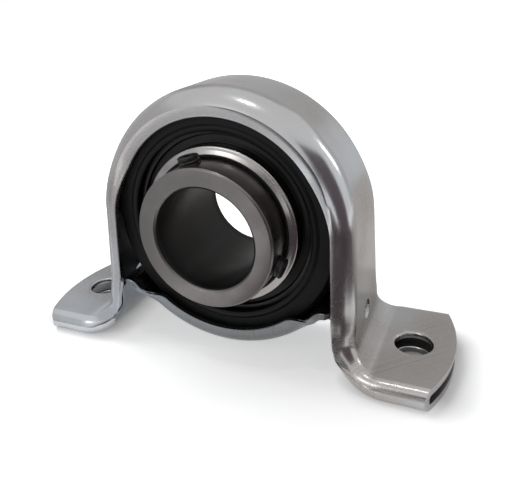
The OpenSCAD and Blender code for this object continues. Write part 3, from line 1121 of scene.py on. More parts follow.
@dataclass
class PressedStrap:
    """Shared sizes of the two pressed straps and the way they are swept.

    The leg grows by leg_spread below the height spread_from, seam_gap is the room between the two
    straps' lips, and lip_turn the share of the foot bend over which the flange gets shallower. rim
    gives the distance from a face and the extra radius of a bolt hole's rounded rim, and run_out
    how far its cutter goes past the faces.
    """

    palette: Palette
    sheet: Sheet = field(default_factory=Sheet)
    bolt_x: float = 55.0
    bolt_radius: float = 5.5
    foot_end: float = 66.7
    foot_end_radius: float = 49.3
    foot_half: float = 22.0
    foot_height: float = 7.0
    seam_height: float = 4.0
    seam_gap: float = 0.04
    lip_turn: float = 0.7
    foot_edge: float = 3.0
    arch_radius: float = 39.7
    belly_radius: float = 38.1
    flare: float = math.radians(2.47)
    leg_half: float = 15.2
    leg_base_half: float = 17.3
    leg_spread: float = 1.2
    spread_from: float = 22.0
    leg_relief: float = 0.5
    leg_edge: float = 5.6
    leg_box: float = 6.1
    bend_radius: float = 7.0
    fit: float = 0.1
    rim: tuple[Point, ...] = ((0.0, 0.36), (0.08, 0.2), (0.2, 0.08), (0.36, 0.0))
    run_out: float = 1.0

    def __post_init__(self) -> None:
        """Work out where the legs meet the arch and the feet."""
        s, c = math.sin(self.flare), math.cos(self.flare)
        self.lean: Point = (s, c)
        self.leg_top: Point = (self.arch_radius * c, AXIS_HEIGHT + self.arch_radius * s)
        self.bend_start = self.foot_height + self.bend_radius * (1 - s)
        self.leg_length = (self.leg_top[1] - self.bend_start) / c
        self.bend_centre: Point = (
            self.leg_top[0] + self.leg_length * s + self.bend_radius * c,
            self.foot_height + self.bend_radius,
        )

    def near_bend(self, z: float, start: float) -> float:
        """Share that grows from 0 at a starting height to 1 where the foot bend begins."""
        return smooth_step((start - z) / (start - self.bend_start))

    def half_at(self, z: float) -> float:
        """Half width of the upper strap's leg at a height.

        Args:
            z: Height above the floor.

        Returns:
            The half width.
        """
        drop = (self.leg_top[1] - z) / (self.leg_top[1] - self.bend_start)
        plain = blend(self.leg_half, self.leg_base_half, drop)
        return plain + self.leg_spread * self.near_bend(z, self.spread_from)

    def bend_half(self, share: float) -> float:
        """Half width of the upper strap a share of the way round the foot bend."""
        base = self.leg_base_half + self.leg_spread
        return blend(base, self.foot_half, 0.5 * share + 0.5 * smooth_step(share))

    def lip_at(self, share: float) -> float:
        """Depth of the upper strap's flange a share of the way round the foot bend."""
        foot_lip = self.foot_height - self.seam_height - self.seam_gap
        return blend(self.leg_box - self.leg_relief, foot_lip, smooth_step(share / self.lip_turn))

    def reach_x(self, across: float) -> float:
        """X of the rounded foot end at a distance across."""
        back = self.foot_end_radius - math.sqrt(self.foot_end_radius**2 - across**2)
        return self.foot_end - back

    def rows(self, right: Sequence[Station]) -> list[list[Vector]]:
        """Mirror the stations of the right half and turn them into rows of points.

        Args:
            right: Stations from the middle of the strap to the right foot's end.

        Returns:
            Closed outlines from the left foot's end to the right foot's end.
        """
        made: list[list[Vector]] = []
        for side, group in ((-1.0, reversed(right[1:])), (1.0, iter(right))):
            for s in group:
                full = s.section + [(-u, v) for u, v in reversed(s.section)]
                row: list[Vector] = []
                for u, v in full:
                    x = s.x + v * s.nx
                    if s.reach > 0.0:
                        x = blend(s.x, self.reach_x(u), s.reach)
                    row.append(Vector((side * x, u, s.z + v * s.nz)))
                made.append(row)
        return made

    def bolt_cutter(self, side: float, low: float, high: float) -> bpy.types.Object:
        """Cutter for a bolt hole with slightly rounded rims.

        Args:
            side: Side of the object, as a sign.
            low: Lower face of the sheet.
            high: Upper face of the sheet.

        Returns:
            The cutter.
        """
        start = Vector((side * self.bolt_x, 0.0, low - self.run_out))
        end = Vector((side * self.bolt_x, 0.0, high + self.run_out))
        top = self.run_out + high - low
        widest = self.rim[0][1]
        flares = [(0.0, widest)] + [(self.run_out + d, e) for d, e in self.rim]
        flares += [(top - d, e) for d, e in reversed(self.rim)] + [(top + self.run_out, widest)]
        return drill(self.bolt_radius, start, end, flares)


@dataclass
class ArchStrap(PressedStrap):
    """Upper strap: the arch with its rolled rim, the outer legs and the tops of the feet.

    arch_turns holds the first angle, the step and the count of two runs of stations, in degrees,
    and leg_from is the angle at which the arch's section begins to turn into the leg's. Below the
    height relief_from the leg's flange gets shallower. drain_span is where a drain hole's cutter
    starts and ends along X, and drain_flare its distance along that way and extra radius there.
    """

    arch_turns: tuple[tuple[float, float, int], ...] = ((90.0, 2.5, 23), (33.0, 2.0, 15))
    leg_from: float = 34.0
    relief_from: float = 20.0
    arch_edge: float = 8.0
    arch_depth: float = 7.7
    arch_ridge: float = 4.5
    arch_step: float = 1.6
    arch_tip_in: float = 1.6
    drain_radius: float = 3.0
    drain_height: float = 15.8
    drain_span: tuple[float, float] = (44.0, 37.0)
    drain_flare: tuple[Point, ...] = ((0.0, 0.2), (3.25, 0.15), (3.5, 0.0), (7.0, 0.0))

    def bend_section(self, share: float) -> list[Point]:
        """Section a share of the way round the foot bend."""
        radius = blend(self.leg_edge, self.foot_edge, share)
        return self.sheet.lipped(self.bend_half(share), radius, self.lip_at(share))

    def leg_section(self, z: float) -> list[Point]:
        """Section of a leg at a height."""
        depth = self.leg_box - self.leg_relief * self.near_bend(z, self.relief_from)
        return self.sheet.lipped(self.half_at(z), self.leg_edge, depth)

    def stations(self) -> list[Station]:
        """Work out the stations of the right half.

        Returns:
            Stations from the top of the arch to the foot's end.
        """
        s, c = self.lean
        arch = self.sheet.channel(self.leg_half, self.arch_edge, self.arch_depth, self.arch_ridge,
                                  self.arch_step, self.arch_tip_in)
        leg = self.leg_section(self.leg_top[1])
        last = math.degrees(self.flare)
        degrees = [first - step * i for first, step, count in self.arch_turns for i in range(count)]
        made: list[Station] = []
        for d in degrees + [last]:
            a = math.radians(d)
            x, z = self.arch_radius * math.cos(a), AXIS_HEIGHT + self.arch_radius * math.sin(a)
            section = blend_points(arch, leg, smooth_step((self.leg_from - d) / (self.leg_from - last)))
            made.append(Station(x, z, -math.cos(a), -math.sin(a), section))
        for i in range(1, 17):
            t = i / 16
            z = self.leg_top[1] - self.leg_length * t * c
            made.append(Station(self.leg_top[0] + self.leg_length * t * s, z, -c, -s, self.leg_section(z)))
        for i in range(1, 19):
            t = i / 18
            a = blend(self.flare, math.pi / 2, t)
            x = self.bend_centre[0] - self.bend_radius * math.cos(a)
            z = self.bend_centre[1] - self.bend_radius * math.sin(a)
            made.append(Station(x, z, -math.cos(a), -math.sin(a), self.bend_section(t)))
        foot = self.bend_section(1.0)
        for i in range(1, 9):
            made.append(Station(self.bend_centre[0], self.foot_height, 0.0, -1.0, foot, i / 8))
        return made

    def build(self) -> bpy.types.Object:
        """Sweep the strap, punch its holes and dress it.

        Returns:
            The piece.
        """
        piece = sweep("arch_sheet", self.rows(self.stations()), False, Cap.LADDER, self.sheet.inner_edges())
        # The faces that look into the strap take the second, darker copy of the zinc: painted shade inside
        # the arch and legs.
        for finish in ("zinc_steel", "zinc_painted_shade"):
            self.palette.dress(piece, finish)
        low = self.foot_height - self.sheet.thickness
        cutters = [self.bolt_cutter(side, low, self.foot_height) for side in (-1.0, 1.0)]
        for side in (-1.0, 1.0):
            start, end = (Vector((side * x, 0.0, self.drain_height)) for x in self.drain_span)
            cutters.append(drill(self.drain_radius, start, end, self.drain_flare))
        punch(piece, cutters)
        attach(piece, Body.HOUSING.value)
        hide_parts("upper_strap")
        return piece


@dataclass
class SaddleStrap(PressedStrap):
    """Lower strap: the saddle under the bearing, its two crests, the inner legs and the soles.

    crest_turns are the angles in degrees between which a crest narrows to the inner leg,
    sole_lip is where the sole's flange starts on its bend, over which share it grows, and the
    least depth it has. floor_rise and floor_level tell the sole's upper face by its height in
    sheet thicknesses and by how far up it looks, hole_wall a bolt hole's wall; these faces and
    the saddle under the bearing take darker copies of the zinc, painted shade.
    """

    belly_half: float = 14.3
    belly_edge: float = 4.0
    belly_depth: float = 5.4
    crest_half: float = 16.1
    crest_radius: float = 2.5
    sheet_edge: float = 3.0
    notch: float = math.radians(15.0)
    saddle_shade_until: float = 38.0
    fillet_gap: float = 0.45
    crest_turns: tuple[float, float, float] = (84.0, 62.0, 24.0)
    sole_ease: float = 1.9
    sole_lip: tuple[float, float, float] = (0.08, 0.16, 0.6)
    floor_rise: float = 1.5
    floor_level: float = 0.9
    hole_wall: float = 0.35

    def __post_init__(self) -> None:
        """Work out where the crests and the inner legs stand."""
        super().__post_init__()
        s, c = self.lean
        reach = self.belly_radius + self.crest_radius
        line = self.arch_radius + AXIS_HEIGHT * s - self.leg_box
        x = self.arch_radius - self.leg_box - self.crest_radius
        for _ in range(3):
            drop = AXIS_HEIGHT - math.sqrt(reach**2 - x**2)
            x = (line - self.crest_radius - drop * s) / c
        self.crest: Point = (x, AXIS_HEIGHT - math.sqrt(reach**2 - x**2))
        self.crest_turn = math.asin(x / reach)
        self.sole_radius = self.bend_radius + self.leg_box + self.sole_ease
        leg_start = self.crest[1] + self.crest_radius * s
        run = (leg_start - self.sole_radius * (1 - s)) / c
        self.sole_x = x + self.crest_radius * c + run * s + self.sole_radius * c

    def nested_half(self, z: float) -> float:
        """Half width that fits between the upper strap's flanges at a height."""
        return self.half_at(z) - self.sheet.thickness - self.fillet_gap

    def sole_section(self, share: float) -> list[Point]:
        """Work out the section at a place on the sole bend, bare at first and then with a lip.

        Args:
            share: Share of the way round the bend.

        Returns:
            Points as distance across and depth.
        """
        a = blend(self.flare, math.pi / 2, share)
        turn = Vector((math.cos(a), math.sin(a)))
        spot = Vector((self.sole_x, self.sole_radius)) - turn * self.sole_radius
        gap = spot - Vector(self.bend_centre)
        along = gap.dot(turn)
        tip = self.bend_radius + self.lip_at(share)
        depth = -along - math.sqrt(max(along**2 - gap.length_squared + tip**2, 0.0)) - self.seam_gap
        lip_from, lip_over, least = self.sole_lip
        depth = min(max(depth, least), self.seam_height)
        full = self.sheet.lipped(self.bend_half(share), self.sheet_edge, depth)
        bare = self.sheet.strip(self.bend_half(share) - self.sheet.thickness - self.fillet_gap)
        return blend_points(bare, full, smooth_step((share - lip_from) / lip_over))

    def belly_station(self, angle: float, section: list[Point]) -> Station:
        """Place a station under the bearing.

        Args:
            angle: Angle from straight down, in radians.
            section: Section of the sheet there.

        Returns:
            The station.
        """
        s, c = math.sin(angle), math.cos(angle)
        return Station(self.belly_radius * s, AXIS_HEIGHT - self.belly_radius * c, -s, c, section)

    def crest_station(self, angle: float, section: list[Point]) -> Station:
        """Place a station on a crest.

        Args:
            angle: Angle from +X towards +Z, in radians.
            section: Section of the sheet there.

        Returns:
            The station.
        """
        s, c = math.sin(angle), math.cos(angle)
        x, z = self.crest
        return Station(x + self.crest_radius * c, z + self.crest_radius * s, c, s, section)

    def stations(self) -> list[Station]:
        """Work out the stations of the right half.

        Returns:
            Stations from the middle of the saddle to the foot's end.
        """
        belly = self.sheet.lipped(self.belly_half, self.belly_edge, self.belly_depth)
        bare = self.sheet.strip(self.crest_half)
        narrow = self.sheet.strip(self.nested_half(self.crest[1] + self.crest_radius) - self.fit)
        leg = self.sole_section(0.0)
        end = self.crest_turn - self.notch
        made = [self.belly_station(end * i / 20, belly) for i in range(21)]
        for i in range(1, 15):
            share = i / 14
            section = blend_points(belly, bare, smooth_step(share))
            made.append(self.belly_station(blend(end, self.crest_turn, share), section))
        top = math.pi / 2 + self.crest_turn
        wide, slim, low = self.crest_turns
        for i in range(1, 17):
            a = blend(top, math.radians(wide), i / 16)
            made.append(self.crest_station(a, bare))
        for first, last, before, after, count in (
            (wide, slim, bare, narrow, 5),
            (slim, low, narrow, narrow, 6),
            (low, math.degrees(self.flare), narrow, leg, 5),
        ):
            for i in range(1, count + 1):
                a = math.radians(blend(first, last, i / count))
                made.append(self.crest_station(a, blend_points(before, after, i / count)))
        for i in range(21):
            t = i / 20
            a = blend(self.flare, math.pi / 2, t)
            s, c = math.sin(a), math.cos(a)
            x, z = self.sole_x - self.sole_radius * c, self.sole_radius * (1 - s)
            made.append(Station(x, z, c, s, self.sole_section(t)))
        sole = self.sole_section(1.0)
        for i in range(1, 9):
            made.append(Station(self.sole_x, 0.0, 0.0, 1.0, sole, i / 8))
        return made

    def finish_at(self, spot: Vector, normal: Vector) -> int:
        """Which finish a face takes.

        Args:
            spot: Middle of the face in millimetres.
            normal: Direction that the face looks in.

        Returns:
            0 in the saddle, a darker copy painted as shade under the bearing, 1 on the legs and
            soles, 2 with painted shade in the bolt holes and on the soles' upper faces inside the feet.
        """
        # The saddle under the bearing takes painted shade, a darker copy of the zinc.
        if abs(spot.x) < self.saddle_shade_until:
            return 0
        from_bolt = math.hypot(abs(spot.x) - self.bolt_x, spot.y)
        in_hole = from_bolt < self.bolt_radius + self.fit and abs(normal.z) < self.hole_wall
        on_floor = spot.z < self.floor_rise * self.sheet.thickness and normal.z > self.floor_level
        return 2 if in_hole or on_floor else 1

    def build(self) -> bpy.types.Object:
        """Sweep the strap, punch its bolt holes and dress it.

        Returns:
            The piece.
        """
        piece = sweep("saddle_sheet", self.rows(self.stations()), False, Cap.LADDER)
        punch(piece, [self.bolt_cutter(side, 0.0, self.sheet.thickness) for side in (-1.0, 1.0)])
        # Finishes: the saddle's painted shade, the plain zinc, and painted shade in the holes and inside the
        # feet.
        for finish in ("zinc_saddle_shaded", "zinc_steel", "zinc_painted_shade"):
            self.palette.dress(piece, finish)
        for face in piece.data.polygons:
            face.material_index = self.finish_at(face.center / MM, face.normal)
        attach(piece, Body.HOUSING.value)
        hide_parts("lower_strap")
        return piece


# Rubber ring


@dataclass
class RubberCushion:
    """Rubber ring between the straps and the outer race, thicker under the arch than in the saddle.

    crown_half and shoulder_drop hold a size for the saddle and one for the arch, and cross_over is
    the angle in degrees over which one turns into the other. seat_half is half the width of the seat
    on the race, and seat_rows are the distances from the ball plane at which it has points.
    """

    palette: Palette
    seat_radius: float = 31.05
    lip_radius: float = 27.7
    top_radius: float = 37.6
    bottom_radius: float = 35.9
    half_width: float = 12.2
    crown_half: tuple[float, float] = (8.4, 7.0)
    shoulder_drop: tuple[float, float] = (1.7, 2.4)
    shoulder_out: float = 11.35
    groove: Point = (29.9, 11.5)
    bead: tuple[float, float] = (29.1, 28.5)
    lip_drop: float = 0.4
    lip_end: float = 10.62
    seat_half: float = 10.6
    seat_rows: tuple[float, ...] = (10.2, 8.0, 6.0, 4.0, 2.0, 0.0)
    cross_over: float = 4.0
    steps: int = 216

    def outline(self, share: float) -> list[Point]:
        """Closed outline of the ring where it is a share of the way from the saddle to the arch.

        Args:
            share: 0 in the saddle and 1 under the arch.

        Returns:
            Points as radius and distance in front of the ball plane.
        """
        crown = blend(self.bottom_radius, self.top_radius, share)
        crown_half = blend(*self.crown_half, share)
        shoulder = crown - blend(*self.shoulder_drop, share)
        w, lip = self.half_width, self.lip_radius
        back, *seat = [(math.sqrt(self.seat_radius**2 - u**2), u) for u in (self.seat_half, *self.seat_rows)]
        front = rounded([
            (crown, 0.0, 0.0), (crown, crown_half, 2.0), (shoulder, self.shoulder_out, 0.6),
            (*self.groove, 0.5), (self.bead[0], w, 0.7), (self.bead[1], w, 0.7),
            (lip, w - self.lip_drop, 0.6), (lip, self.lip_end, 0.25), (*back, 0.0),
        ], 4)[:-1]
        ring = front + [back] + seat
        return ring + [(r, -u) for r, u in reversed(ring[1:-1])]

    def build(self) -> bpy.types.Object:
        """Sweep the ring and dress it.

        Returns:
            The piece.
        """
        rows: list[list[Vector]] = []
        for i in range(self.steps):
            angle = 2.0 * math.pi * i / self.steps
            share = smooth_step(math.degrees(math.sin(angle)) / self.cross_over + 0.5)
            rows.append([on_axis(r, u, angle) for r, u in self.outline(share)])
        piece = sweep("rubber_cushion", rows, True, Cap.OPEN)
        self.palette.dress(piece, "rubber")
        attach(piece, Body.HOUSING.value)
        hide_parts("rubber_ring")
        return piece


# Ball bearing insert


@dataclass
class OuterRace:
    """Outer ring of the insert with its spherical outside, its lands and its ball groove.

    sphere_turn is the angle in degrees at which the sphere ends, edge the width of the bevel there.
    """

    palette: Palette
    sphere_radius: float = 31.0
    half_width: float = 9.5
    land_radius: float = 25.62
    seat_radius: float = 26.42
    seat_depth: float = 2.2
    groove_radius: float = 4.95
    pitch_radius: float = 23.0
    sphere_turn: float = 16.8
    edge: float = 0.45
    land_half: float = 5.0

    def build(self) -> bpy.types.Object:
        """Turn the ring and dress it.

        Returns:
            The piece.
        """
        w, land = self.half_width, self.land_radius
        floor = w - self.seat_depth
        corner = math.sqrt(self.sphere_radius**2 - w**2)
        reach = math.degrees(math.acos((land - self.pitch_radius) / self.groove_radius))
        groove = arc_points((self.pitch_radius, 0.0), self.groove_radius, -reach, reach, 20)
        outline = arc_points((0.0, 0.0), self.sphere_radius, -self.sphere_turn, self.sphere_turn, 24)
        face = rounded([
            (corner, w, 0.0), (self.seat_radius, w, 0.35), (self.seat_radius, floor, 0.1),
            (land, floor, 0.2), (land, self.land_half, 0.0),
        ], 3)
        outline += [(corner - self.edge, w)] + face[1:] + groove[::-1]
        outline += [(r, -u) for r, u in reversed(face[1:])] + [(corner - self.edge, -w)]
        piece = turned("outer_race", outline)
        self.palette.dress(piece, "bearing_steel")
        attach(piece, Body.INSERT.value)
        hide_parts("outer_ring")
        return piece


@dataclass
class InnerRace:
    """Long inner ring with its ground faces, bore, ball groove and two screw holes.

    edge is how far the bevel of the front edge reaches across and along. front_rows and bore_rows
    hold the start, the step and the count of rows that keep the faces round the screw holes small.
    hole_flare gives the distance along a hole's cutter and the extra radius there.
    """

    palette: Palette
    bore_radius: float = 15.0
    outside_radius: float = 20.6
    front: float = 22.2
    rear: float = 15.9
    chamfer: float = 0.75
    groove_radius: float = 4.95
    pitch_radius: float = 23.0
    screw_radius: float = 3.05
    screw_out: float = 17.775
    screw_angles: tuple[float, float] = (102.0, -18.0)
    edge: Point = (0.45, 0.55)
    land_half: float = 6.0
    rear_row: float = 8.0
    front_rows: tuple[float, float, int] = (6.0, 0.8, 19)
    bore_rows: tuple[float, float, int] = (2.0, 2.0, 17)
    hole_span: tuple[float, float] = (12.0, 24.0)
    hole_flare: tuple[Point, ...] = ((0.0, 0.0), (8.3, 0.0), (8.7, 0.4), (12.0, 0.4))

    def build(self) -> bpy.types.Object:
        """Turn the ring, drill its screw holes and dress it.

        Returns:
            The piece.
        """
        b, o, k = self.bore_radius, self.outside_radius, self.chamfer
        reach = math.degrees(math.acos((self.pitch_radius - o) / self.groove_radius))
        groove = arc_points((self.pitch_radius, 0.0), self.groove_radius, 180 - reach, 180 + reach, 20)
        front, rear, land = self.front, self.rear, self.land_half
        across, along = self.edge
        start = rounded([
            (b, k - rear, 0.15), (b + k, -rear, 0.15), (o - k, -rear, 0.2), (o, k - rear, 0.2),
            (o, -land, 0.0),
        ], 3)[:-1]
        end = rounded([
            (o, land, 0.0), (o, front - along, 0.25), (o - across, front, 0.3), (b + k, front, 0.15),
            (b, front - k, 0.15),
        ], 3)[1:]
        first, step, count = self.front_rows
        lands = [(o, first - step + step * i) for i in range(1, count + 1)]
        outline = start + [(o, -self.rear_row)] + groove[::-1] + lands + end
        first, step, count = self.bore_rows
        bore = [(b, front - first - step * i) for i in range(count)]
        piece = turned("inner_race", outline + bore, 240)
        cutters: list[bpy.types.Object] = []
        for angle in self.screw_angles:
            a = math.radians(angle)
            line = Vector((math.cos(a), 0.0, math.sin(a)))
            centre = Vector((0.0, -self.screw_out, AXIS_HEIGHT))
            low, high = (centre + line * reach for reach in self.hole_span)
            cutters.append(drill(self.screw_radius, low, high, self.hole_flare))
        punch(piece, cutters)
        self.palette.dress(piece, "ground_steel")
        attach(piece, Body.SHAFT_RING.value)
        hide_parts("inner_ring")
        return piece


@dataclass
class Seal:
    """One seal: a pressed steel shell and the rubber lip in its eye.

    dish is how far the shell's face lies behind its crown.
    """

    palette: Palette
    side: Side
    rim_radius: float = 23.95
    eye_radius: float = 21.55
    crown: float = 12.95
    dish: float = 1.35
    metal: float = 0.65
    flange_out: float = 7.8
    flange_radius: float = 26.37
    wipe_radius: float = 20.64

    def turned_part(self, name: str, outline: Sequence[Point], node: str, slot: str) -> bpy.types.Object:
        """Turn one part of the seal and dress it.

        Args:
            name: Name of the piece.
            outline: Outline on the front side.
            node: CAD node that it stands for.
            slot: Material slot.

        Returns:
            The piece.
        """
        piece = turned(name, [(r, u * self.side.value) for r, u in outline])
        self.palette.dress(piece, slot)
        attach(piece, Body.INSERT.value)
        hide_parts(node)
        return piece

    def build(self) -> list[bpy.types.Object]:
        """Turn the shell and the lip.

        Returns:
            Both pieces.
        """
        r, e, c, t = self.rim_radius, self.eye_radius, self.crown, self.metal
        low, wipe = c - self.dish, self.wipe_radius
        shell = rounded([
            (r - t, self.flange_out, 0.4), (self.flange_radius, self.flange_out, 0.2),
            (self.flange_radius, self.flange_out + t, 0.2), (r, self.flange_out + t, 0.3),
            (r, low + 0.5, 1.0), (r - 1.1, low + 0.75, 0.5), (e, c, 0.2), (e, c - t, 0.1),
            (r - 1.2, low + 0.1, 0.4), (r - t, low - 0.5, 0.5),
        ], 6)
        lip = rounded([
            (e, c - t, 0.0), (e, c - 0.12, 0.05), (e - 0.3, c - 0.05, 0.1), (wipe, c - 0.3, 0.1),
            (wipe, c - 0.9, 0.1), (wipe + 0.35, c - 1.5, 0.1), (e - 0.1, c - 1.4, 0.1),
        ], 3)
        word = self.side.name.lower()
        return [
            self.turned_part(f"shell_{word}", shell, f"{word}_seal_shell", "shell_steel"),
            self.turned_part(f"lip_{word}", lip, f"{word}_seal_lip", "seal_rubber"),
        ]


@dataclass
class SetScrew:
    """Black hexagon-socket set screw with a cut thread and a cup point.

    The thread starts lead_in from the tip and ends lead_out from the top, and flank_slope sets how
    steep its flanks are.
    """

    palette: Palette
    number: int
    angle: float
    radius: float = 3.0
    length: float = 7.8
    tip: float = 15.25
    out: float = 17.775
    pitch: float = 1.0
    thread_depth: float = 0.42
    flank_slope: float = 2.3
    lead_in: float = 1.0
    lead_out: float = 0.35
    thread_steps: int = 60
    socket_half: float = 1.5
    socket_depth: float = 3.0
    steps: int = 60

    def thread_radius(self, turn: float, along: float) -> float:
        """Radius of the threaded flank.

        Args:
            turn: Angle round the screw in radians.
            along: Distance from the tip.

        Returns:
            The radius.
        """
        phase = (along / self.pitch - turn / (2.0 * math.pi)) % 1.0
        flank = min(abs(phase - 0.5) * self.flank_slope, 1.0)
        start = smooth_step((along - self.lead_in) / 0.5)
        stop = smooth_step((self.length - self.lead_out - along) / 0.4)
        return self.radius - self.thread_depth * flank * min(start, stop)

    def hexagon(self, turn: float, half: float) -> float:
        """Distance to the side of a hexagon in a direction."""
        return half / math.cos((turn + math.pi / 6) % (math.pi / 3) - math.pi / 6)

    def build(self) -> bpy.types.Object:
        """Sweep the screw and dress it.

        Returns:
            The piece.
        """
        turns = [2.0 * math.pi * i / self.steps for i in range(self.steps)]
        r, top = self.radius, self.length
        layers: list[tuple[Callable[[float], float], float]] = [
            (lambda a: 0.25, 0.55), (lambda a: 1.2, 0.0), (lambda a: 1.8, 0.0), (lambda a: r - 0.5, 0.75),
        ]
        threaded = top - (self.lead_in + self.lead_out)
        for i in range(self.thread_steps + 1):
            along = self.lead_in + threaded * i / self.thread_steps
            layers.append((lambda a, h=along: self.thread_radius(a, h), along))
        layers += [
            (lambda a: r - 0.45, top), (lambda a: 2.2, top),
            (lambda a: self.hexagon(a, self.socket_half + 0.12), top),
            (lambda a: self.hexagon(a, self.socket_half), top - 0.15),
            (lambda a: self.hexagon(a, self.socket_half), top - self.socket_depth),
            (lambda a: 0.2, top - self.socket_depth - 0.7),
        ]
        a = math.radians(self.angle)
        axis = Vector((math.cos(a), 0.0, math.sin(a)))
        side = Vector((0.0, 1.0, 0.0))
        other = axis.cross(side)
        foot = Vector((0.0, -self.out, AXIS_HEIGHT)) + axis * self.tip
        rows = [[foot + axis * h + (side * math.cos(t) + other * math.sin(t)) * size(t) for t in turns]
                for size, h in layers]
        piece = sweep(f"screw_{self.number}", rows, False, Cap.FAN)
        self.palette.dress(piece, "black_steel")
        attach(piece, Body[f"SCREW_{self.number}"].value)
        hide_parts(f"set_screw_{self.number}")
        return piece


@dataclass
class RollingSet:
    """Balls, cage and rivets, whose solids stay and get their finishes."""

    palette: Palette
    nodes: dict[str, bpy.types.Object]

    def dress(self) -> list[str]:
        """Give each hidden rolling part its material.

        Returns:
            Names of the dressed nodes.
        """
        done: list[str] = []
        for name, piece in self.nodes.items():
            kind = name.split("_")[0]
            if kind in ("ball", "cage"):
                self.palette.dress(piece, f"{kind}_steel")
                done.append(name)
        return done


# Studio


def aimed(place: Sequence[float], aim: Sequence[float], front: str) -> Euler:
    """Turn that makes a thing look from its place at another one.

    Args:
        place: Where it stands.
        aim: What it looks at.
        front: The axis of its own that points there.

    Returns:
        The turn.
    """
    return (Vector(aim) - Vector(place)).to_track_quat(front, "Y").to_euler()


def rectangle(name: str, width: float, depth: float, material: bpy.types.Material) -> bpy.types.Object:
    """Make a flat rectangle for the set.

    Args:
        name: Name of the object.
        width: Length along its own X.
        depth: Length along its own Y.
        material: What it is covered with.

    Returns:
        The object, at the origin.
    """
    w, h = width / 2, depth / 2
    data = bpy.data.meshes.new(name)
    data.from_pydata([(-w, -h, 0.0), (w, -h, 0.0), (w, h, 0.0), (-w, h, 0.0)], [], [(0, 1, 2, 3)])
    data.materials.append(material)
    made = bpy.data.objects.new(name, data)
    bpy.context.scene.collection.objects.link(made)
    return made


@dataclass(frozen=True)
class Softbox:
    """One area lamp of the studio."""

    name: str
    place: tuple[float, float, float]
    aim: tuple[float, float, float]
    size: tuple[float, float]
    power: float
    color: tuple[float, float, float] = (1.0, 1.0, 1.0)
    mirrored: bool = True

    def build(self) -> bpy.types.Object:
        """Make the lamp and point it.

        Returns:
            The lamp.
        """
        data = bpy.data.lights.new(self.name, "AREA")
        data.shape = "RECTANGLE"
        data.size, data.size_y = self.size
        data.energy = self.power
        data.color = self.color
        lamp = bpy.data.objects.new(self.name, data)
        lamp.location = self.place
        lamp.visible_glossy = self.mirrored
        lamp.rotation_euler = aimed(self.place, self.aim, "-Z")
        bpy.context.scene.collection.objects.link(lamp)
        return lamp


@dataclass(frozen=True)
class Flag:
    """A card of one tone, dark or pale, that only bright metal shows, as a reflection."""

    name: str
    place: tuple[float, float, float]
    aim: tuple[float, float, float]
    size: tuple[float, float]
    color: Color

    def build(self) -> bpy.types.Object:
        """Make the card.

        Returns:
            The card, hidden from the camera, from shadows and from diffuse light.
        """
        material, graph = new_material(self.name)
        glow = graph.node("ShaderNodeEmission")
        glow.inputs["Color"].default_value = self.color
        graph.show(glow.outputs[0])
        card = rectangle(self.name, *self.size, material)
        card.location = self.place
        card.rotation_euler = aimed(self.place, self.aim, "Z")
        card.visible_camera = False
        card.visible_shadow = False
        card.visible_diffuse = False
        return card


@dataclass(frozen=True)
class PhotoCamera:
    """Camera that was fitted to the photograph."""

    azimuth: float = 24.63
    elevation: float = 24.36
    roll: float = -2.93
    distance: float = 175.99
    target: tuple[float, float, float] = (5.5, 0.0, 32.48)
    focal_px: float = 572.46
    frame_px: float = 510.0

    def build(self) -> bpy.types.Object:
        """Make the scene's camera.

        Returns:
            The camera.
        """
        az, el, roll = (math.radians(v) for v in (self.azimuth, self.elevation, self.roll))
        back = Vector((math.sin(az) * math.cos(el), -math.cos(az) * math.cos(el), math.sin(el)))
        right = Vector((math.cos(az), math.sin(az), 0.0))
        up = right.cross(-back)
        x_axis = right * math.cos(roll) + up * math.sin(roll)
        y_axis = up * math.cos(roll) - right * math.sin(roll)
        data = bpy.data.cameras.new("photo_camera")
        data.sensor_fit = "HORIZONTAL"
        data.sensor_width = 36.0
        data.lens = self.focal_px / self.frame_px * data.sensor_width
        data.clip_start = 0.005
        camera = bpy.data.objects.new("photo_camera", data)
        turn = Matrix((x_axis, y_axis, back)).transposed().to_4x4()
        place = (Vector(self.target) + back * self.distance) * MM
        camera.matrix_world = Matrix.Translation(place) @ turn
        bpy.context.scene.collection.objects.link(camera)
        bpy.context.scene.camera = camera
        return camera


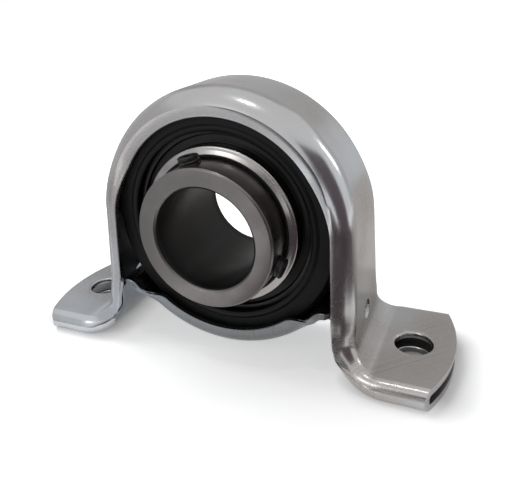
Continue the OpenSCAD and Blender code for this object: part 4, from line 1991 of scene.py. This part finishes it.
@dataclass
class Studio:
    """Pale floor, soft lamps, dark and pale cards, and the photograph's camera.

    print_x and print_half give the middle and half size of the feet's prints on the floor, which
    stay dark as a painted contact shadow, and print_fade how far that painted shadow reaches past
    them. floor_reach is where the floor starts and stops to get brighter to the camera.
    """

    white: Color = (1.0, 1.0, 1.0, 1.0)
    floor_size: float = 14.0
    floor_color: Color = (0.93, 0.93, 0.935, 1.0)
    print_x: tuple[float, float] = (0.056, 0.008)
    print_half: float = 0.012
    print_fade: float = 0.013
    floor_glow: float = 0.46
    floor_reach: tuple[float, float] = (0.07, 0.22)
    world_level: float = 0.33
    card_height: float = 0.002

    def floor(self) -> bpy.types.Object:
        """Make the floor, which stays white to the camera and keeps the shadow, with a painted contact shadow
        round and under the feet.

        Returns:
            The floor.
        """
        material, graph = new_material("studio_paper")
        shader = graph.node("ShaderNodeBsdfPrincipled")
        shader.inputs["Base Color"].default_value = self.floor_color
        shader.inputs["Roughness"].default_value = 0.9
        shader.inputs["Specular IOR Level"].default_value = 0.1
        place = graph.node("ShaderNodeTexCoord").outputs["Object"]
        x, y, _ = graph.split(place)
        open_glow = graph.spread(graph.length(x, y), *self.floor_reach, self.floor_glow, 1.0)
        # Painted contact shadow: the camera glow is taken away over the feet's prints and fades back in past
        # them.
        gaps: list[Socket] = []
        for along, middle, half in ((x, *self.print_x), (y, 0.0, self.print_half)):
            offset = graph.math("SUBTRACT", graph.math("ABSOLUTE", along), middle)
            past = graph.math("SUBTRACT", graph.math("ABSOLUTE", offset), half)
            gaps.append(graph.math("MAXIMUM", past, 0.0))
        lit = graph.spread(graph.length(*gaps), 0.0, self.print_fade)
        glow = graph.math("MULTIPLY", open_glow, lit)
        shader.inputs["Emission Color"].default_value = self.white
        graph.feed(shader.inputs["Emission Strength"], graph.math("MULTIPLY", graph.seen(), glow))
        graph.show(shader.outputs[0])
        floor = rectangle("studio_floor", self.floor_size, self.floor_size, material)
        return floor

    def sky(self) -> None:
        """Light the set from all round, with plain white behind it."""
        world = bpy.data.worlds.new("studio_world")
        bpy.context.scene.world = world
        world.use_nodes = True
        graph = Graph(world.node_tree)
        rise = graph.math("MULTIPLY", graph.seen(), 1.0 - self.world_level)
        back = graph.node("ShaderNodeBackground")
        back.inputs["Color"].default_value = self.white
        graph.feed(back.inputs["Strength"], graph.math("ADD", rise, self.world_level))
        graph.show(back.outputs[0], "ShaderNodeOutputWorld")

    def build(self) -> None:
        """Make the whole set."""
        self.floor()
        self.sky()
        middle = (0.0, 0.0, 0.04)
        Softbox("key_box", (-0.30, 0.10, 0.58), middle, (0.42, 0.42), 2.0, (0.97, 0.985, 1.0), False).build()
        Softbox("spark_box", (-0.02, -0.13, 0.62), middle, (0.06, 0.02), 0.16).build()
        Softbox("rim_box", (0.42, 0.24, 0.31), middle, (0.03, 0.16), 0.16, (1.0, 0.99, 0.97)).build()
        Softbox("front_box", (-0.20, -0.55, 0.40), middle, (0.20, 0.20), 0.4).build()
        brown = (0.15, 0.12, 0.13, 1.0)
        for name, x, y, size, color in (
            ("fade_card", 0.006, -0.19, (0.028, 0.29), (0.34, 0.31, 0.32, 1.0)),
            ("table_fade", 0.10, -0.40, (0.20, 0.13), (0.20, 0.17, 0.175, 1.0)),
            ("table_fade_far", 0.10, -0.55, (0.20, 0.17), (0.42, 0.39, 0.39, 1.0)),
            ("table_flag", 0.11, -0.19, (0.18, 0.29), (0.085, 0.067, 0.074, 1.0)),
            ("table_flag_out", 0.375, -0.19, (0.35, 0.29), brown),
            ("table_flag_far", 0.25, -0.015, (0.31, 0.06), brown),
            ("near_card", 0.16, 0.025, (0.24, 0.02), (0.34, 0.325, 0.31, 1.0)),
            ("mid_card", 0.16, 0.045, (0.24, 0.02), (0.47, 0.45, 0.43, 1.0)),
            ("warm_card", 0.16, 0.33, (0.50, 0.55), (0.62, 0.59, 0.57, 1.0)),
            ("left_card_near", -0.1275, -0.21, (0.165, 0.37), (0.74, 0.745, 0.76, 1.0)),
            ("left_card", -0.4025, -0.21, (0.385, 0.37), (0.55, 0.555, 0.57, 1.0)),
            ("left_card_far", -0.335, 0.22, (0.52, 0.48), (0.60, 0.605, 0.625, 1.0)),
        ):
            Flag(name, (x, y, self.card_height), (x, y, 1.0), size, color).build()
        for name, place, aim, size, color in (
            ("right_flag", (0.42, -0.24, 0.20), (0.0, 0.0, 0.20), (0.46, 0.46), brown),
            ("back_card", (-0.60, 0.62, 0.40), (-0.60, 0.0, 0.40), (1.50, 0.86), (0.60, 0.59, 0.585, 1.0)),
            ("foot_card", (-0.60, 0.61, 0.44), (-0.60, 0.0, 0.44), (0.34, 0.34), (0.47, 0.465, 0.475, 1.0)),
            ("side_card", (0.41, 0.61, 0.24), (0.0, 0.0, 0.24), (0.60, 0.54), (0.63, 0.62, 0.615, 1.0)),
            ("arch_card", (0.225, 0.60, 0.13), (0.0, 0.0, 0.13), (0.23, 0.32), (0.76, 0.76, 0.77, 1.0)),
            ("front_flag", (0.09, -0.55, 0.145), (0.09, 0.0, 0.145), (0.22, 0.23), (0.13, 0.11, 0.115, 1.0)),
            ("left_wall", (-0.62, -0.10, 0.25), (0.0, -0.10, 0.25), (1.40, 0.52), (0.72, 0.725, 0.74, 1.0)),
        ):
            Flag(name, place, aim, size, color).build()
        PhotoCamera().build()
        bpy.context.scene.view_settings.view_transform = "Standard"


def main() -> None:
    """Build the set and every piece, and report each one."""
    logging.basicConfig(level=logging.INFO, format="%(message)s")
    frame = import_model()
    Studio().build()
    palette = Palette()
    inner = InnerRace(palette)
    for part in (ArchStrap(palette), SaddleStrap(palette), RubberCushion(palette), OuterRace(palette), inner):
        LOG.info("piece %s", part.build().name)
    for side in Side:
        for piece in Seal(palette, side).build():
            LOG.info("seal %s", piece.name)
    for number, angle in enumerate(inner.screw_angles, 1):
        LOG.info("screw %s", SetScrew(palette, number, angle).build().name)
    LOG.info("rolling set %s", ", ".join(RollingSet(palette, frame["nodes"]).dress()))


if __name__ == "__main__":
    main()
